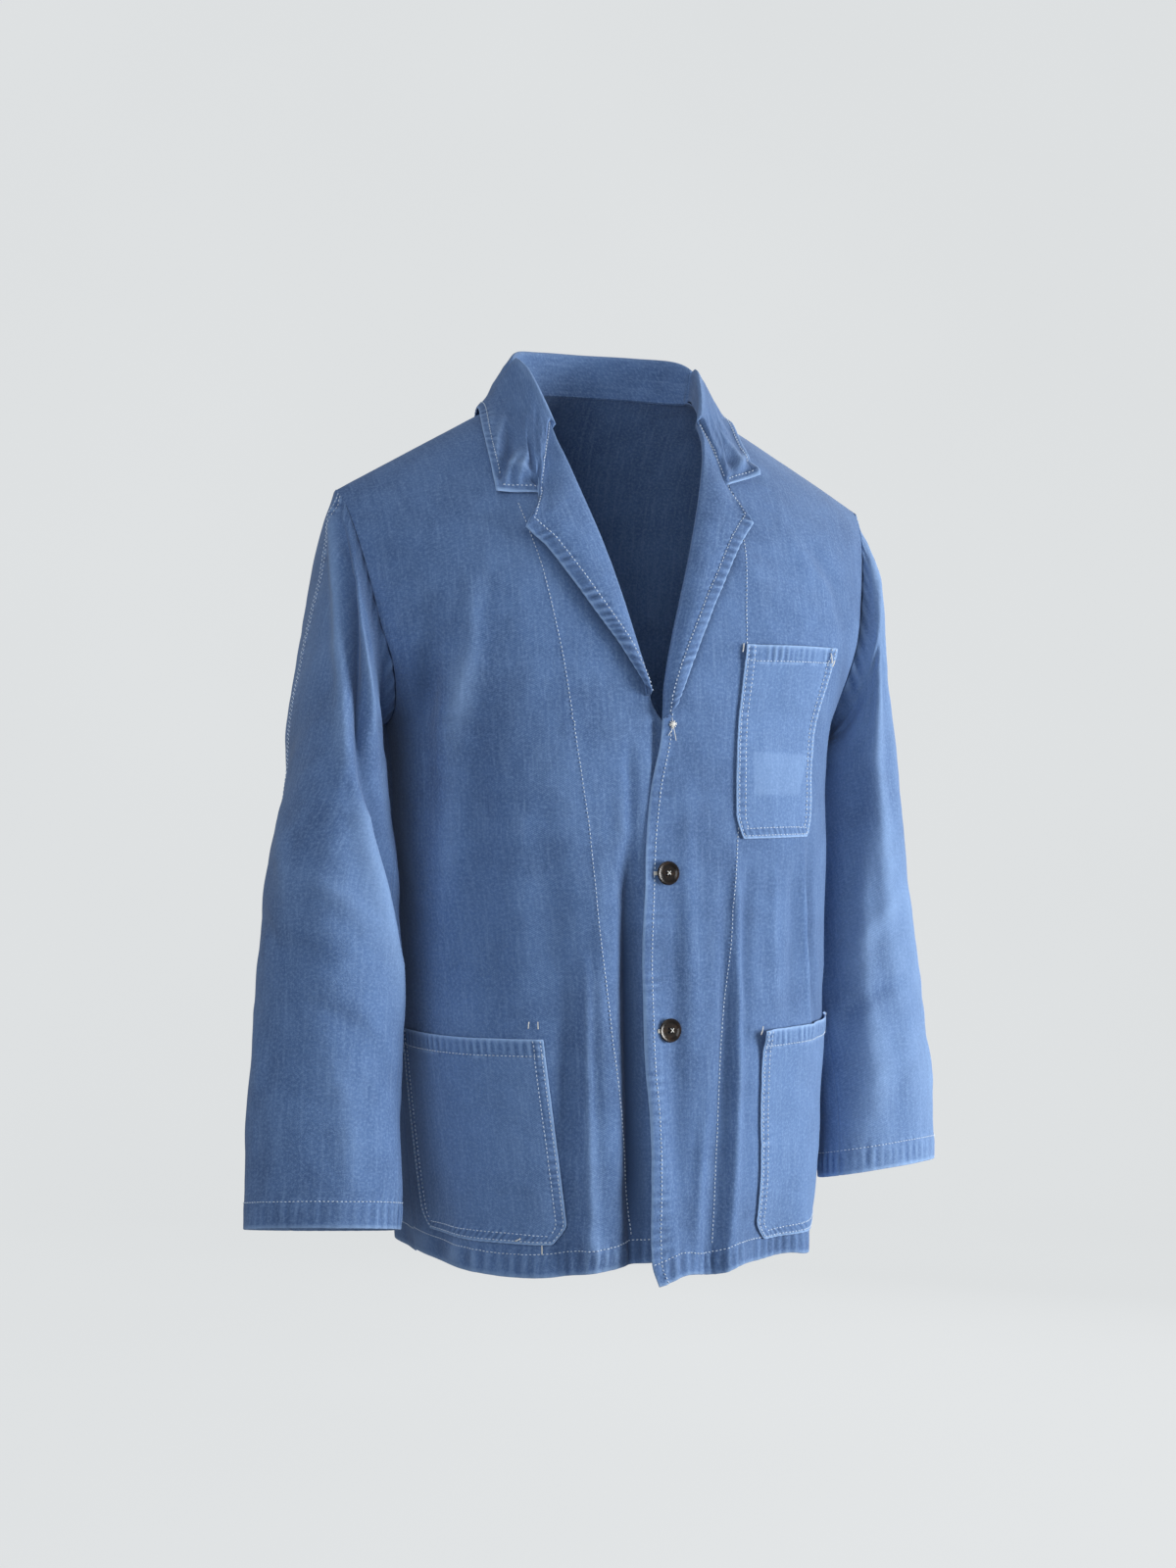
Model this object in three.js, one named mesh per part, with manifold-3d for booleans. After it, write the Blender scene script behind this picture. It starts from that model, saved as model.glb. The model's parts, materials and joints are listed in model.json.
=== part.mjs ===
// Chore jacket of washed cotton, open at neck, hem, armholes and cuffs, in the form it takes when worn.
// Millimetres, +Z up. The jacket faces -Y, so the wearer's right is at -X.
// The origin is on the centre line at the nape, where the neckline rests on the wearer.

import * as THREE from 'three';
import Module from 'manifold-3d';

const wasm = await Module();
wasm.setup();

// Cloth and seams
const CLOTH = 1.8;
const SEAM_GAP = 0.3;
const LAID_ON = CLOTH + SEAM_GAP;
const POCKET_LIFT = CLOTH + 0.9;

// Body: the tube of the two fronts and the back
const MID_X = 5;
const SIDE_Y = 10;
const HEM_Z = -722;
const ARMPIT_Z = -290;
const SQUARE = 2.5;

// Shoulders: the ridge where front and back meet falls evenly from the neck to the tip
const RIDGE_TOP_Z = 30;
const RIDGE_SLOPE = 0.56;
const RIDGE_ROUND = 30;
const NECK_HALF = 75;
const NAPE_Z = -8;

// How the depths fall from the armpit to the ridge: one less the level to the rise, to the round
const FRONT_FALL = { rise: 2.2, round: 0.625 };
const BACK_FALL = { rise: 3, round: 0.556 };

// Armholes, as a share of the body's depth, full from this height up
const ARMHOLE_OPEN = 0.43;
const ARMHOLE_FULL_AT = 0.3;

// Overlap of the wearer's left front on the right one
const LAP_LIFT = 2.7;
const LAP_FROM_X = 25;
const LAP_REACH = 60;
const LAP_TOP_V = 0.02;
const LAP_FADE = 0.25;

// The free edges' lower corners hang higher or lower than the hem, from this level down
const RIGHT_HEM_RISE = 9;
const LEFT_HEM_RISE = -5;
const HEM_RISE_FROM = 0.8;

// Buttons
const BUTTON_RADIUS = 9.5;
const BUTTON_THICK = 3.4;
const BUTTON_SIDES = 28;
const BUTTON_HOLE = 1.7;
const BUTTON_HOLE_RING = 2.1;
const BUTTON_HOLE_SIDES = 10;
const BUTTON_X = -3;
const BUTTON_HEIGHTS = { middle_button: -409, lower_button: -532 };

// Outline of a button: how far in from its edge, and the share of its thickness
const buttonOutline = [
  { inward: BUTTON_RADIUS, share: 0 },
  { inward: 1.6, share: 0 },
  { inward: 0.3, share: 0.45 },
  { inward: 0, share: 0.7 },
  { inward: 0.9, share: 1 },
  { inward: 2.2, share: 0.92 },
  { inward: 3.6, share: 0.68 },
  { inward: BUTTON_RADIUS, share: 0.66 },
];

// Body sections by height: v is -1 at the hem, 0 at the armpit and 1 on the shoulder ridge.
// front and back are depths from the side seams.
const bodyRows = [
  { v: -1, half: 167, front: 150, back: 126 },
  { v: -0.8, half: 175, front: 150, back: 121 },
  { v: -0.58, half: 182, front: 148, back: 115 },
  { v: -0.3, half: 186, front: 145, back: 111 },
  { v: -0.08, half: 188, front: 140, back: 111 },
  { v: 0, half: 193, front: 138, back: 112 },
  { v: 0.2, half: 212, front: 138, back: 113 },
  { v: 0.4, half: 225, front: 138, back: 113 },
  { v: 1, half: 247, front: 138, back: 113 },
];

// Inner edge of each front by height: its free edge, then its roll line up to the neck
const rightEdgeRows = [
  { v: -1, x: 22 },
  { v: -0.14, x: 22 },
  { v: -0.05, x: 10 },
  { v: 0.042, x: -10 },
  { v: 0.108, x: -15 },
  { v: 0.327, x: -33 },
  { v: 0.61, x: -55 },
  { v: 0.778, x: -65 },
  { v: 0.866, x: -68 },
  { v: 1, x: -70 },
];
const leftEdgeRows = [
  { v: -1, x: -17 },
  { v: -0.96, x: -22 },
  { v: -0.75, x: -21 },
  { v: -0.556, x: -25 },
  { v: -0.255, x: -21 },
  { v: -0.123, x: -14 },
  { v: -0.028, x: -5 },
  { v: 0.106, x: -1 },
  { v: 0.31, x: 15 },
  { v: 0.58, x: 40 },
  { v: 0.805, x: 62 },
  { v: 1, x: 80 },
];

// Drape folds of the body: where across (s), how wide, how far out at the hem, and where they start
const drapeRows = [
  { face: -1, s: -0.17, wide: 0.17, out: 7, from: -0.2 },
  { face: -1, s: 0.19, wide: 0.15, out: 6, from: -0.25 },
  { face: 1, s: -0.68, wide: 0.24, out: 9, from: 0.1 },
  { face: 1, s: -0.36, wide: 0.22, out: -7, from: 0.1 },
  { face: 1, s: -0.06, wide: 0.24, out: 10, from: 0.2 },
  { face: 1, s: 0.3, wide: 0.22, out: -7, from: 0.1 },
  { face: 1, s: 0.64, wide: 0.24, out: 9, from: 0.1 },
];

// Sleeve rings from the armhole to the cuff. across is the half width from outer to inner side and
// deep the half width from front to back. In degrees, tilt lifts the outer side, turn swings it to the
// back and pitch lifts the front.
const rightSleeveRows = [
  { at: 0.1, x: -221, y: 9, z: -222, across: 79, deep: 72, tilt: 77, turn: 0, pitch: 0 },
  { at: 0.2, x: -226, y: 5, z: -249, across: 62, deep: 77, tilt: 69, turn: 0, pitch: 0 },
  { at: 0.3, x: -230, y: -2, z: -282, across: 47, deep: 78, tilt: 51, turn: 2, pitch: 0 },
  { at: 0.38, x: -235, y: -12, z: -317, across: 40, deep: 76, tilt: 24, turn: 5, pitch: 1 },
  { at: 0.46, x: -240, y: -24, z: -356, across: 42, deep: 74, tilt: 7, turn: 12, pitch: 2 },
  { at: 0.54, x: -245, y: -34, z: -402, across: 51, deep: 69, tilt: 0, turn: 20, pitch: 3 },
  { at: 0.63, x: -248, y: -38, z: -459, across: 55, deep: 63, tilt: 0, turn: 22, pitch: 5 },
  { at: 0.72, x: -251, y: -41, z: -516, across: 58, deep: 56, tilt: 0, turn: 22, pitch: 8 },
  { at: 0.83, x: -255, y: -46, z: -582, across: 60, deep: 49, tilt: 0, turn: 22, pitch: 11 },
  { at: 0.93, x: -258, y: -55, z: -643, across: 61, deep: 44, tilt: 0, turn: 22, pitch: 13 },
  { at: 1, x: -260, y: -58, z: -684, across: 61, deep: 42, tilt: 0, turn: 22, pitch: 13 },
];
const leftSleeveRows = [
  { at: 0.1, x: 227, y: 11, z: -222, across: 77, deep: 70, tilt: 78, turn: 0, pitch: 0 },
  { at: 0.2, x: 229, y: 14, z: -250, across: 60, deep: 75, tilt: 71, turn: 0, pitch: 0 },
  { at: 0.3, x: 232, y: 18, z: -283, across: 45, deep: 76, tilt: 53, turn: 0, pitch: 0 },
  { at: 0.38, x: 238, y: 25, z: -318, across: 40, deep: 75, tilt: 24, turn: 0, pitch: 0 },
  { at: 0.46, x: 242, y: 30, z: -358, across: 42, deep: 71, tilt: 7, turn: 5, pitch: 1 },
  { at: 0.58, x: 244, y: 28, z: -430, across: 48, deep: 65, tilt: 0, turn: 10, pitch: 3 },
  { at: 0.69, x: 246, y: 17, z: -500, across: 53, deep: 58, tilt: 0, turn: 15, pitch: 6 },
  { at: 0.81, x: 245, y: -5, z: -567, across: 57, deep: 50, tilt: 0, turn: 20, pitch: 9 },
  { at: 0.92, x: 243, y: -25, z: -627, across: 59, deep: 45, tilt: 0, turn: 22, pitch: 12 },
  { at: 1, x: 242, y: -33, z: -674, across: 60, deep: 42, tilt: 0, turn: 22, pitch: 12 },
];

// Sleeve seams, in degrees round the ring from its outer side towards the front
const HIND_SEAM_TOP = 12;
const HIND_SEAM_CUFF = -62;
const FORE_SEAM_TOP = 172;
const FORE_SEAM_CUFF = 168;
const SEAM_TURN = 0.3;

// Where a sleeve starts beside the armhole's edge, at the tip and at the armpit, and its head's rise
const ARMHOLE_OUT = 2.4;
const ARMPIT_OUT = 2.6;
const SLEEVE_HEAD_RISE = 3;

// Lapels, from the break up to the gorge: height on the roll line, and the outer edge
const rightLapelRows = [
  { at: 0, rollZ: -268, x: -19, z: -261 },
  { at: 0.25, rollZ: -225, x: -40, z: -228 },
  { at: 0.5, rollZ: -178, x: -66, z: -191 },
  { at: 0.75, rollZ: -125, x: -92, z: -153 },
  { at: 0.88, rollZ: -98, x: -105, z: -141 },
  { at: 1, rollZ: -58, x: -90, z: -117 },
];
const leftLapelRows = [
  { at: 0, rollZ: -286, x: 6, z: -277 },
  { at: 0.25, rollZ: -235, x: 21, z: -243 },
  { at: 0.5, rollZ: -180, x: 43, z: -197 },
  { at: 0.75, rollZ: -120, x: 70, z: -150 },
  { at: 0.88, rollZ: -92, x: 85, z: -132 },
  { at: 1, rollZ: -54, x: 74, z: -109 },
];
const LAPEL_STAND_OFF = 4;

// Half the collar, from the nape to its front end. Positions across are from the middle.
// stand is the height of the fold above the neckline, lean how far out it leans, rim the leaf's
// outer edge, and gorge how far the leaf is pulled down to the notch.
const collarBackRows = [
  { at: 0, stand: 35, lean: 6, rimX: 0, rimY: 98, gorge: 0 },
  { at: 0.25, stand: 35, lean: 5, rimX: 62, rimY: 88, gorge: 0 },
  { at: 0.5, stand: 34, lean: 6, rimX: 98, rimY: 52, gorge: 0 },
];
const rightCollarRows = [
  ...collarBackRows,
  { at: 0.7, stand: 25, lean: 7, rimX: 112, rimY: 12, gorge: 0 },
  { at: 0.86, stand: 12, lean: 4, rimX: 123, rimY: -32, gorge: 0.3 },
  { at: 1, stand: 8, lean: 0, rimX: 127, rimY: -74, gorge: 1 },
];
const leftCollarRows = [
  ...collarBackRows,
  { at: 0.7, stand: 25, lean: 7, rimX: 104, rimY: 10, gorge: 0 },
  { at: 0.86, stand: 12, lean: 4, rimX: 102, rimY: -32, gorge: 0.3 },
  { at: 1, stand: 8, lean: 0, rimX: 99, rimY: -73, gorge: 1 },
];
const COLLAR_SHOULDER_AT = 0.7;
const COLLAR_FRONT_V = 0.86;
const COLLAR_LIFT = 5;
const COLLAR_FOLD_RADIUS = 3;
const COLLAR_SEAM_IN = 2;
const COLLAR_SEAM_LIFTS = [1.5, 0.5];
const rightNotch = { x: -88, z: -108 };
const leftNotch = { x: 71, z: -91 };

// Patch pockets: inner and outer edge across (s), top and bottom height, corner cut, and slant
const pockets = [
  {
    name: 'chest_pocket', side: 1, inner: 0.2, outer: 0.49, top: -228, bottom: -383, cut: 0.12,
    slant: -0.015,
  },
  {
    name: 'right_pocket', side: -1, inner: -0.37, outer: -0.93, top: -537, bottom: -696, cut: 0.1,
    slant: 0.045,
  },
  {
    name: 'left_pocket', side: 1, inner: 0.26, outer: 0.84, top: -537, bottom: -705, cut: 0.1,
    slant: 0,
  },
];
const POCKET_CORNER_IN = 0.16;
const POCKET_CORNER_ROUND = 1.5;

// Grid steps
const FRONT_STEPS = [15, 23];
const BACK_STEPS = [19, 19];
const SLEEVE_STEPS = [9, 16];
const LAPEL_STEPS = [5, 12];
const POCKET_STEPS = [8, 8];
const COLLAR_STEPS = 22;

const cottonBlue = new THREE.MeshStandardMaterial({ color: 0x3f66a8, roughness: 0.92, metalness: 0 });
const pocketBlue = new THREE.MeshStandardMaterial({ color: 0x4a72b4, roughness: 0.92, metalness: 0 });
const buttonDark = new THREE.MeshStandardMaterial({ color: 0x17120f, roughness: 0.25, metalness: 0 });

const lerp = (a, b, t) => a + (b - a) * t;
const clamp = (x, low, high) => Math.min(high, Math.max(low, x));
const ease = (t) => {
  const c = clamp(t, 0, 1);
  return c * c * (3 - 2 * c);
};
const radians = (degrees) => (degrees * Math.PI) / 180;

// Smooth reading of a table's column: a cubic through the rows, with slopes from the neighbours
function read(rows, key, at, column) {
  const last = rows.length - 1;
  if (at <= rows[0][key]) return rows[0][column];
  if (at >= rows[last][key]) return rows[last][column];
  let i = 0;
  while (at > rows[i + 1][key]) i += 1;
  const slope = (k) => {
    const low = rows[Math.max(0, k - 1)];
    const high = rows[Math.min(last, k + 1)];
    return (high[column] - low[column]) / (high[key] - low[key]);
  };
  const span = rows[i + 1][key] - rows[i][key];
  const t = (at - rows[i][key]) / span;
  const start = rows[i][column] * (1 + 2 * t) * (1 - t) * (1 - t) + slope(i) * span * t * (1 - t) * (1 - t);
  const end = rows[i + 1][column] * t * t * (3 - 2 * t) + slope(i + 1) * span * t * t * (t - 1);
  return start + end;
}

// Half width of the body at height v
const halfAt = (v) => read(bodyRows, 'v', v, 'half');

// Depth of the body at height v: full up to the armpit, then rolling over to the shoulder ridge
function depthAt(v, face) {
  const full = read(bodyRows, 'v', v, face < 0 ? 'front' : 'back');
  if (v <= 0) return full;
  const { rise, round } = face < 0 ? FRONT_FALL : BACK_FALL;
  return full * Math.pow(Math.max(0, 1 - Math.pow(v, rise)), round);
}

const ridgeZ = (x) => RIDGE_TOP_Z - RIDGE_SLOPE * Math.hypot(x - MID_X, RIDGE_ROUND);

function heightAt(x, v) {
  return v < 0 ? ARMPIT_Z + v * (ARMPIT_Z - HEM_Z) : lerp(ARMPIT_Z, ridgeZ(x), v);
}

function levelAt(x, z) {
  return z < ARMPIT_Z ? (z - ARMPIT_Z) / (ARMPIT_Z - HEM_Z) : (z - ARMPIT_Z) / (ridgeZ(x) - ARMPIT_Z);
}

// Place across, from -1 at the right side seam to 1 at the left one, of a point x on level v
function acrossAt(x, v) {
  const share = Math.pow(clamp(Math.abs(x - MID_X) / halfAt(v), 0, 0.9999), SQUARE);
  return (Math.sign(x - MID_X) * Math.atan(Math.pow(share / (1 - share), 1 / SQUARE)) * 2) / Math.PI;
}

// How far the drape folds stand out: cosine waves that grow from where they start to the hem
function drapeAt(s, v, face) {
  let out = 0;
  for (const fold of drapeRows) {
    const off = Math.abs(s - fold.s) / fold.wide;
    if (fold.face !== face || off >= 1 || v >= fold.from) continue;
    const grown = (fold.from - v) / (fold.from + 1);
    out += fold.out * grown * 0.5 * (1 + Math.cos(Math.PI * off));
  }
  return out;
}

// The body's surface: rounded squares lying level up to the armpit, that close up on the shoulder ridge
function body(s, v, face) {
  const turn = (s * Math.PI) / 2;
  const sin = Math.sin(turn);
  const cos = Math.max(0, Math.cos(turn));
  const round = Math.pow(Math.pow(Math.abs(sin), SQUARE) + Math.pow(cos, SQUARE), -1 / SQUARE);
  const swell = 1 + drapeAt(s, v, face) / 150;
  const x = MID_X + halfAt(v) * sin * round * swell;
  const deep = depthAt(v, face) * cos * round * swell;
  return new THREE.Vector3(x, SIDE_Y + face * (SEAM_GAP / 2 + deep), heightAt(x, v));
}

// Unit normal of a surface function at a place, from four near points
function normalOf(surface, a, b, step = 0.002) {
  const low = Math.max(0, a - step);
  const high = Math.min(1, a + step);
  const under = Math.max(0, b - step);
  const over = Math.min(1, b + step);
  const alongA = surface(high, b).sub(surface(low, b));
  const alongB = surface(a, over).sub(surface(a, under));
  return alongA.cross(alongB).normalize();
}

// Front surface at (s, v), moved out by a lift
function onFront(s, v, lift) {
  const step = 0.003;
  const across = body(Math.min(1, s + step), v, -1).sub(body(Math.max(-1, s - step), v, -1));
  const up = body(s, Math.min(0.9999, v + step), -1).sub(body(s, v - step, -1));
  const out = across.cross(up).normalize();
  return body(s, v, -1).addScaledVector(out, lift);
}

// The left front lies on the right one near the middle
function lapAt(side, s, v) {
  if (side < 0) return 0;
  const x = body(s, v, -1).x;
  const near = 1 - ease((x - LAP_FROM_X) / LAP_REACH);
  return LAP_LIFT * near * (1 - ease((v - LAP_TOP_V) / LAP_FADE));
}

const frontAt = (side, s, v, lift = 0) => onFront(s, v, lift + lapAt(side, s, v));

// Place across of the armhole's edge at height v
function armholeAt(v) {
  if (v <= 0) return 1;
  const short = 1 - Math.min(1, v / ARMHOLE_FULL_AT);
  const open = ARMHOLE_OPEN * Math.sqrt(1 - short * short);
  const reach = Math.pow(1 - Math.pow(open, SQUARE), 1 / SQUARE);
  return (Math.atan2(reach, open) * 2) / Math.PI;
}

// Rows up the body: even up to the armpit, then closer together towards the shoulder ridge
const ARMPIT_ROW = 0.54;
function levelOfRow(row) {
  if (row < ARMPIT_ROW) return -1 + row / ARMPIT_ROW;
  return 1 - Math.pow(1 - (row - ARMPIT_ROW) / (1 - ARMPIT_ROW), 1.8);
}

// A wall of cloth: a grid of points on a surface function, moved half the thickness to both sides
function wall(surface, steps, thick = CLOTH) {
  const [nu, nv] = steps;
  const outer = [];
  const inner = [];
  for (let j = 0; j <= nv; j += 1) {
    for (let i = 0; i <= nu; i += 1) {
      const point = surface(i / nu, j / nv);
      const normal = normalOf(surface, i / nu, j / nv);
      outer.push(point.clone().addScaledVector(normal, thick / 2));
      inner.push(point.clone().addScaledVector(normal, -thick / 2));
    }
  }
  return shell(outer, inner, nu + 1, nv + 1);
}

// Closes two grids of points into one solid, with its faces pointing out
function shell(outer, inner, columns, rows) {
  const points = [...outer, ...inner];
  const base = outer.length;
  const faces = [];
  const quad = (a, b, c, d) => faces.push(a, b, c, a, c, d);
  for (let j = 0; j < rows - 1; j += 1) {
    for (let i = 0; i < columns - 1; i += 1) {
      const k = j * columns + i;
      quad(k, k + 1, k + columns + 1, k + columns);
      quad(base + k, base + k + columns, base + k + columns + 1, base + k + 1);
    }
  }
  const rim = [];
  for (let i = 0; i < columns; i += 1) rim.push(i);
  for (let j = 1; j < rows; j += 1) rim.push(j * columns + columns - 1);
  for (let i = columns - 2; i >= 0; i -= 1) rim.push((rows - 1) * columns + i);
  for (let j = rows - 2; j > 0; j -= 1) rim.push(j * columns);
  rim.forEach((k, n) => {
    const next = rim[(n + 1) % rim.length];
    quad(k, base + k, base + next, next);
  });
  return solidFrom(points, faces);
}

function solidFrom(points, faces) {
  let volume = 0;
  for (let f = 0; f < faces.length; f += 3) {
    const [a, b, c] = [points[faces[f]], points[faces[f + 1]], points[faces[f + 2]]];
    volume += a.dot(b.clone().cross(c));
  }
  const turned = volume < 0 ? [...faces].reverse() : faces;
  const geometry = new THREE.BufferGeometry();
  const flat = points.flatMap((p) => [p.x, p.y, p.z]);
  geometry.setAttribute('position', new THREE.Float32BufferAttribute(flat, 3));
  geometry.setIndex(turned);
  geometry.computeVertexNormals();
  return geometry;
}

// One front: from the side seam and armhole to its free edge and roll line
function frontPanel(side) {
  const rows = side < 0 ? rightEdgeRows : leftEdgeRows;
  const rise = side < 0 ? RIGHT_HEM_RISE : LEFT_HEM_RISE;
  return wall((u, w) => {
    const v = levelOfRow(w);
    const inner = acrossAt(read(rows, 'v', v, 'x'), v);
    const outer = side * armholeAt(v);
    const point = frontAt(side, lerp(outer, inner, u), v);
    point.z += rise * Math.pow(u, 4) * ease((-v - HEM_RISE_FROM) / (1 - HEM_RISE_FROM));
    return point;
  }, FRONT_STEPS);
}

// The back's upper edge: the shoulder ridge, dipping at the neck
function backTopAt(x) {
  const off = Math.abs(x - MID_X) / NECK_HALF;
  if (off >= 1) return 1;
  return levelAt(x, lerp(NAPE_Z, ridgeZ(MID_X + NECK_HALF), off * off));
}

function backPanel() {
  return wall((u, w) => {
    const v = levelOfRow(w);
    const reach = armholeAt(v);
    const s = lerp(-reach, reach, u);
    const top = backTopAt(body(s, v, 1).x);
    const dipped = v > 0 ? v * lerp(1, top, Math.pow(v, 3)) : v;
    return body(s, dipped, 1);
  }, BACK_STEPS);
}

// The armhole's edge as a closed ring: 0 at the tip, 90 at the front, 180 at the armpit, 270 at the back
function armholeRing(side, angle) {
  const v = clamp(0.5 * (1 + Math.cos(angle)), 0, 1);
  const face = Math.sin(angle) >= 0 ? -1 : 1;
  return body(side * armholeAt(v), v, face);
}

// A sleeve ring from the table
function sleeveRing(rows, side, at, angle) {
  const value = (column) => read(rows, 'at', at, column);
  const tilt = radians(value('tilt'));
  const turn = radians(value('turn'));
  const outward = new THREE.Vector3(
    side * Math.cos(turn) * Math.cos(tilt),
    Math.sin(turn) * Math.cos(tilt),
    Math.sin(tilt),
  );
  const pitch = radians(value('pitch'));
  const forward = new THREE.Vector3(
    side * Math.sin(turn) * Math.cos(pitch),
    -Math.cos(turn) * Math.cos(pitch),
    Math.sin(pitch),
  );
  return new THREE.Vector3(value('x'), value('y'), value('z'))
    .addScaledVector(outward, value('across') * Math.cos(angle))
    .addScaledVector(forward, value('deep') * Math.sin(angle));
}

// The sleeve's surface: at the armhole it starts on the edge of the body, a seam gap out
function sleeve(side, along, angle) {
  const rows = side < 0 ? rightSleeveRows : leftSleeveRows;
  const first = rows[0].at;
  if (along >= first) return sleeveRing(rows, side, along, angle);
  const low = Math.pow(0.5 * (1 - Math.cos(angle)), 3);
  const start = armholeRing(side, angle);
  start.x += side * lerp(ARMHOLE_OUT, ARMPIT_OUT, low);
  const end = sleeveRing(rows, side, first, angle);
  const t = along / first;
  const swell = 2 * t * (1 - t);
  const point = start.lerp(end, t);
  point.z += SLEEVE_HEAD_RISE * Math.cos(angle) * swell;
  return point;
}

function sleevePiece(side, upper) {
  return wall((u, w) => {
    const hind = lerp(HIND_SEAM_TOP, HIND_SEAM_CUFF, w);
    const fore = lerp(FORE_SEAM_TOP, FORE_SEAM_CUFF, w);
    const from = upper ? hind : fore;
    const to = upper ? fore : hind + 360;
    return sleeve(side, w, radians(lerp(from + SEAM_TURN, to - SEAM_TURN, u)));
  }, SLEEVE_STEPS);
}

// A lapel: rows from the roll line to its outer edge, lying on the front and standing off in the middle
function lapel(side) {
  const rows = side < 0 ? rightLapelRows : leftLapelRows;
  const edges = side < 0 ? rightEdgeRows : leftEdgeRows;
  return wall((u, w) => {
    const rollZ = read(rows, 'at', w, 'rollZ');
    let v = levelAt(0, rollZ);
    let x = read(edges, 'v', v, 'x');
    v = levelAt(x, rollZ);
    x = read(edges, 'v', v, 'x');
    const px = lerp(x, read(rows, 'at', w, 'x'), u);
    const pz = lerp(rollZ, read(rows, 'at', w, 'z'), u);
    const level = levelAt(px, pz);
    const lift = LAID_ON + LAPEL_STAND_OFF * Math.sin(Math.PI * Math.pow(u, 0.8) * 0.8);
    return frontAt(side, acrossAt(px, level), level, lift);
  }, LAPEL_STEPS);
}

// Height of the shoulders under a point, found by going back and forth between level and width
function shoulderZ(x, y) {
  const face = y < SIDE_Y ? -1 : 1;
  const { rise, round } = face < 0 ? FRONT_FALL : BACK_FALL;
  const full = read(bodyRows, 'v', 1, face < 0 ? 'front' : 'back');
  let v = 0.8;
  for (let k = 0; k < 6; k += 1) {
    const share = clamp(Math.abs(x - MID_X) / halfAt(v), 0, 0.99);
    const middle = Math.pow(1 - Math.pow(share, SQUARE), 1 / SQUARE);
    const part = clamp(Math.abs(y - SIDE_Y) / (full * middle), 0, 0.999);
    v = Math.pow(1 - Math.pow(part, 1 / round), 1 / rise);
  }
  return heightAt(x, v);
}

// Moves a point that lies too near the shoulders out along their slope
function clearOfShoulders(point, lift) {
  const step = 0.5;
  for (let k = 0; k < 4; k += 1) {
    const { x, y, z } = point;
    const height = shoulderZ(x, y);
    const slopeX = (shoulderZ(x + step, y) - shoulderZ(x - step, y)) / (2 * step);
    const slopeY = (shoulderZ(x, y + step) - shoulderZ(x, y - step)) / (2 * step);
    const normal = new THREE.Vector3(-slopeX, -slopeY, 1);
    const clear = (z - height) / normal.length();
    if (clear < lift) point.addScaledVector(normal.normalize(), lift - clear);
  }
  return point;
}

// Where the collar is sewn on: along the back neckline, then down the inner edge of the front
function necklineAt(side, at) {
  if (at <= COLLAR_SHOULDER_AT) {
    const x = MID_X + side * NECK_HALF * Math.sin((at / COLLAR_SHOULDER_AT) * Math.PI * 0.5);
    const v = backTopAt(x);
    const point = body(acrossAt(x, v), Math.min(v, 0.9999), 1);
    point.z += LAID_ON;
    return point;
  }
  const t = (at - COLLAR_SHOULDER_AT) / (1 - COLLAR_SHOULDER_AT);
  const v = lerp(1, COLLAR_FRONT_V, t);
  const x = read(side < 0 ? rightEdgeRows : leftEdgeRows, 'v', v, 'x');
  const point = body(acrossAt(x, v), Math.min(v, 0.9999), -1);
  point.x -= side * COLLAR_SEAM_IN * ease(t * 4);
  point.z += lerp(COLLAR_SEAM_LIFTS[0], COLLAR_SEAM_LIFTS[1], ease(t * 3));
  return point;
}

// The notch, where the collar's front end meets the lapel
function notchPoint(side) {
  const { x, z } = side < 0 ? rightNotch : leftNotch;
  const level = levelAt(x, z);
  return frontAt(side, acrossAt(x, level), level, COLLAR_LIFT);
}

// One section across the collar: up the stand, over the fold and down the leaf. At the front end the
// leaf goes down the gorge to the notch, then out along its free end.
function collarSection(side, at) {
  const rows = side < 0 ? rightCollarRows : leftCollarRows;
  const value = (column) => read(rows, 'at', at, column);
  const seam = necklineAt(side, at);
  const level = new THREE.Vector3(seam.x - MID_X, seam.y, 0).normalize();
  const fold = seam.clone().addScaledVector(level, value('lean'));
  fold.z += value('stand');
  const rim = new THREE.Vector3(MID_X + side * value('rimX'), value('rimY'), 0);
  rim.z = shoulderZ(rim.x, rim.y) + COLLAR_LIFT;
  const outward = new THREE.Vector3(rim.x - fold.x, rim.y - fold.y, 0).normalize();
  const under = fold.clone().addScaledVector(outward, -COLLAR_FOLD_RADIUS);
  const over = fold.clone().addScaledVector(outward, COLLAR_FOLD_RADIUS);
  const top = fold.clone();
  top.z += COLLAR_FOLD_RADIUS;
  const points = [seam, seam.clone().lerp(under, 0.5), under, top, over];
  const notch = notchPoint(side);
  for (const q of [0.25, 0.5, 0.75, 1]) {
    const straight = over.clone().lerp(rim, q);
    const bent = q < 0.5 ? over.clone().lerp(notch, 2 * q) : notch.clone().lerp(rim, 2 * q - 1);
    points.push(clearOfShoulders(straight.lerp(bent, value('gorge')), COLLAR_LIFT));
  }
  return points;
}

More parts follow.
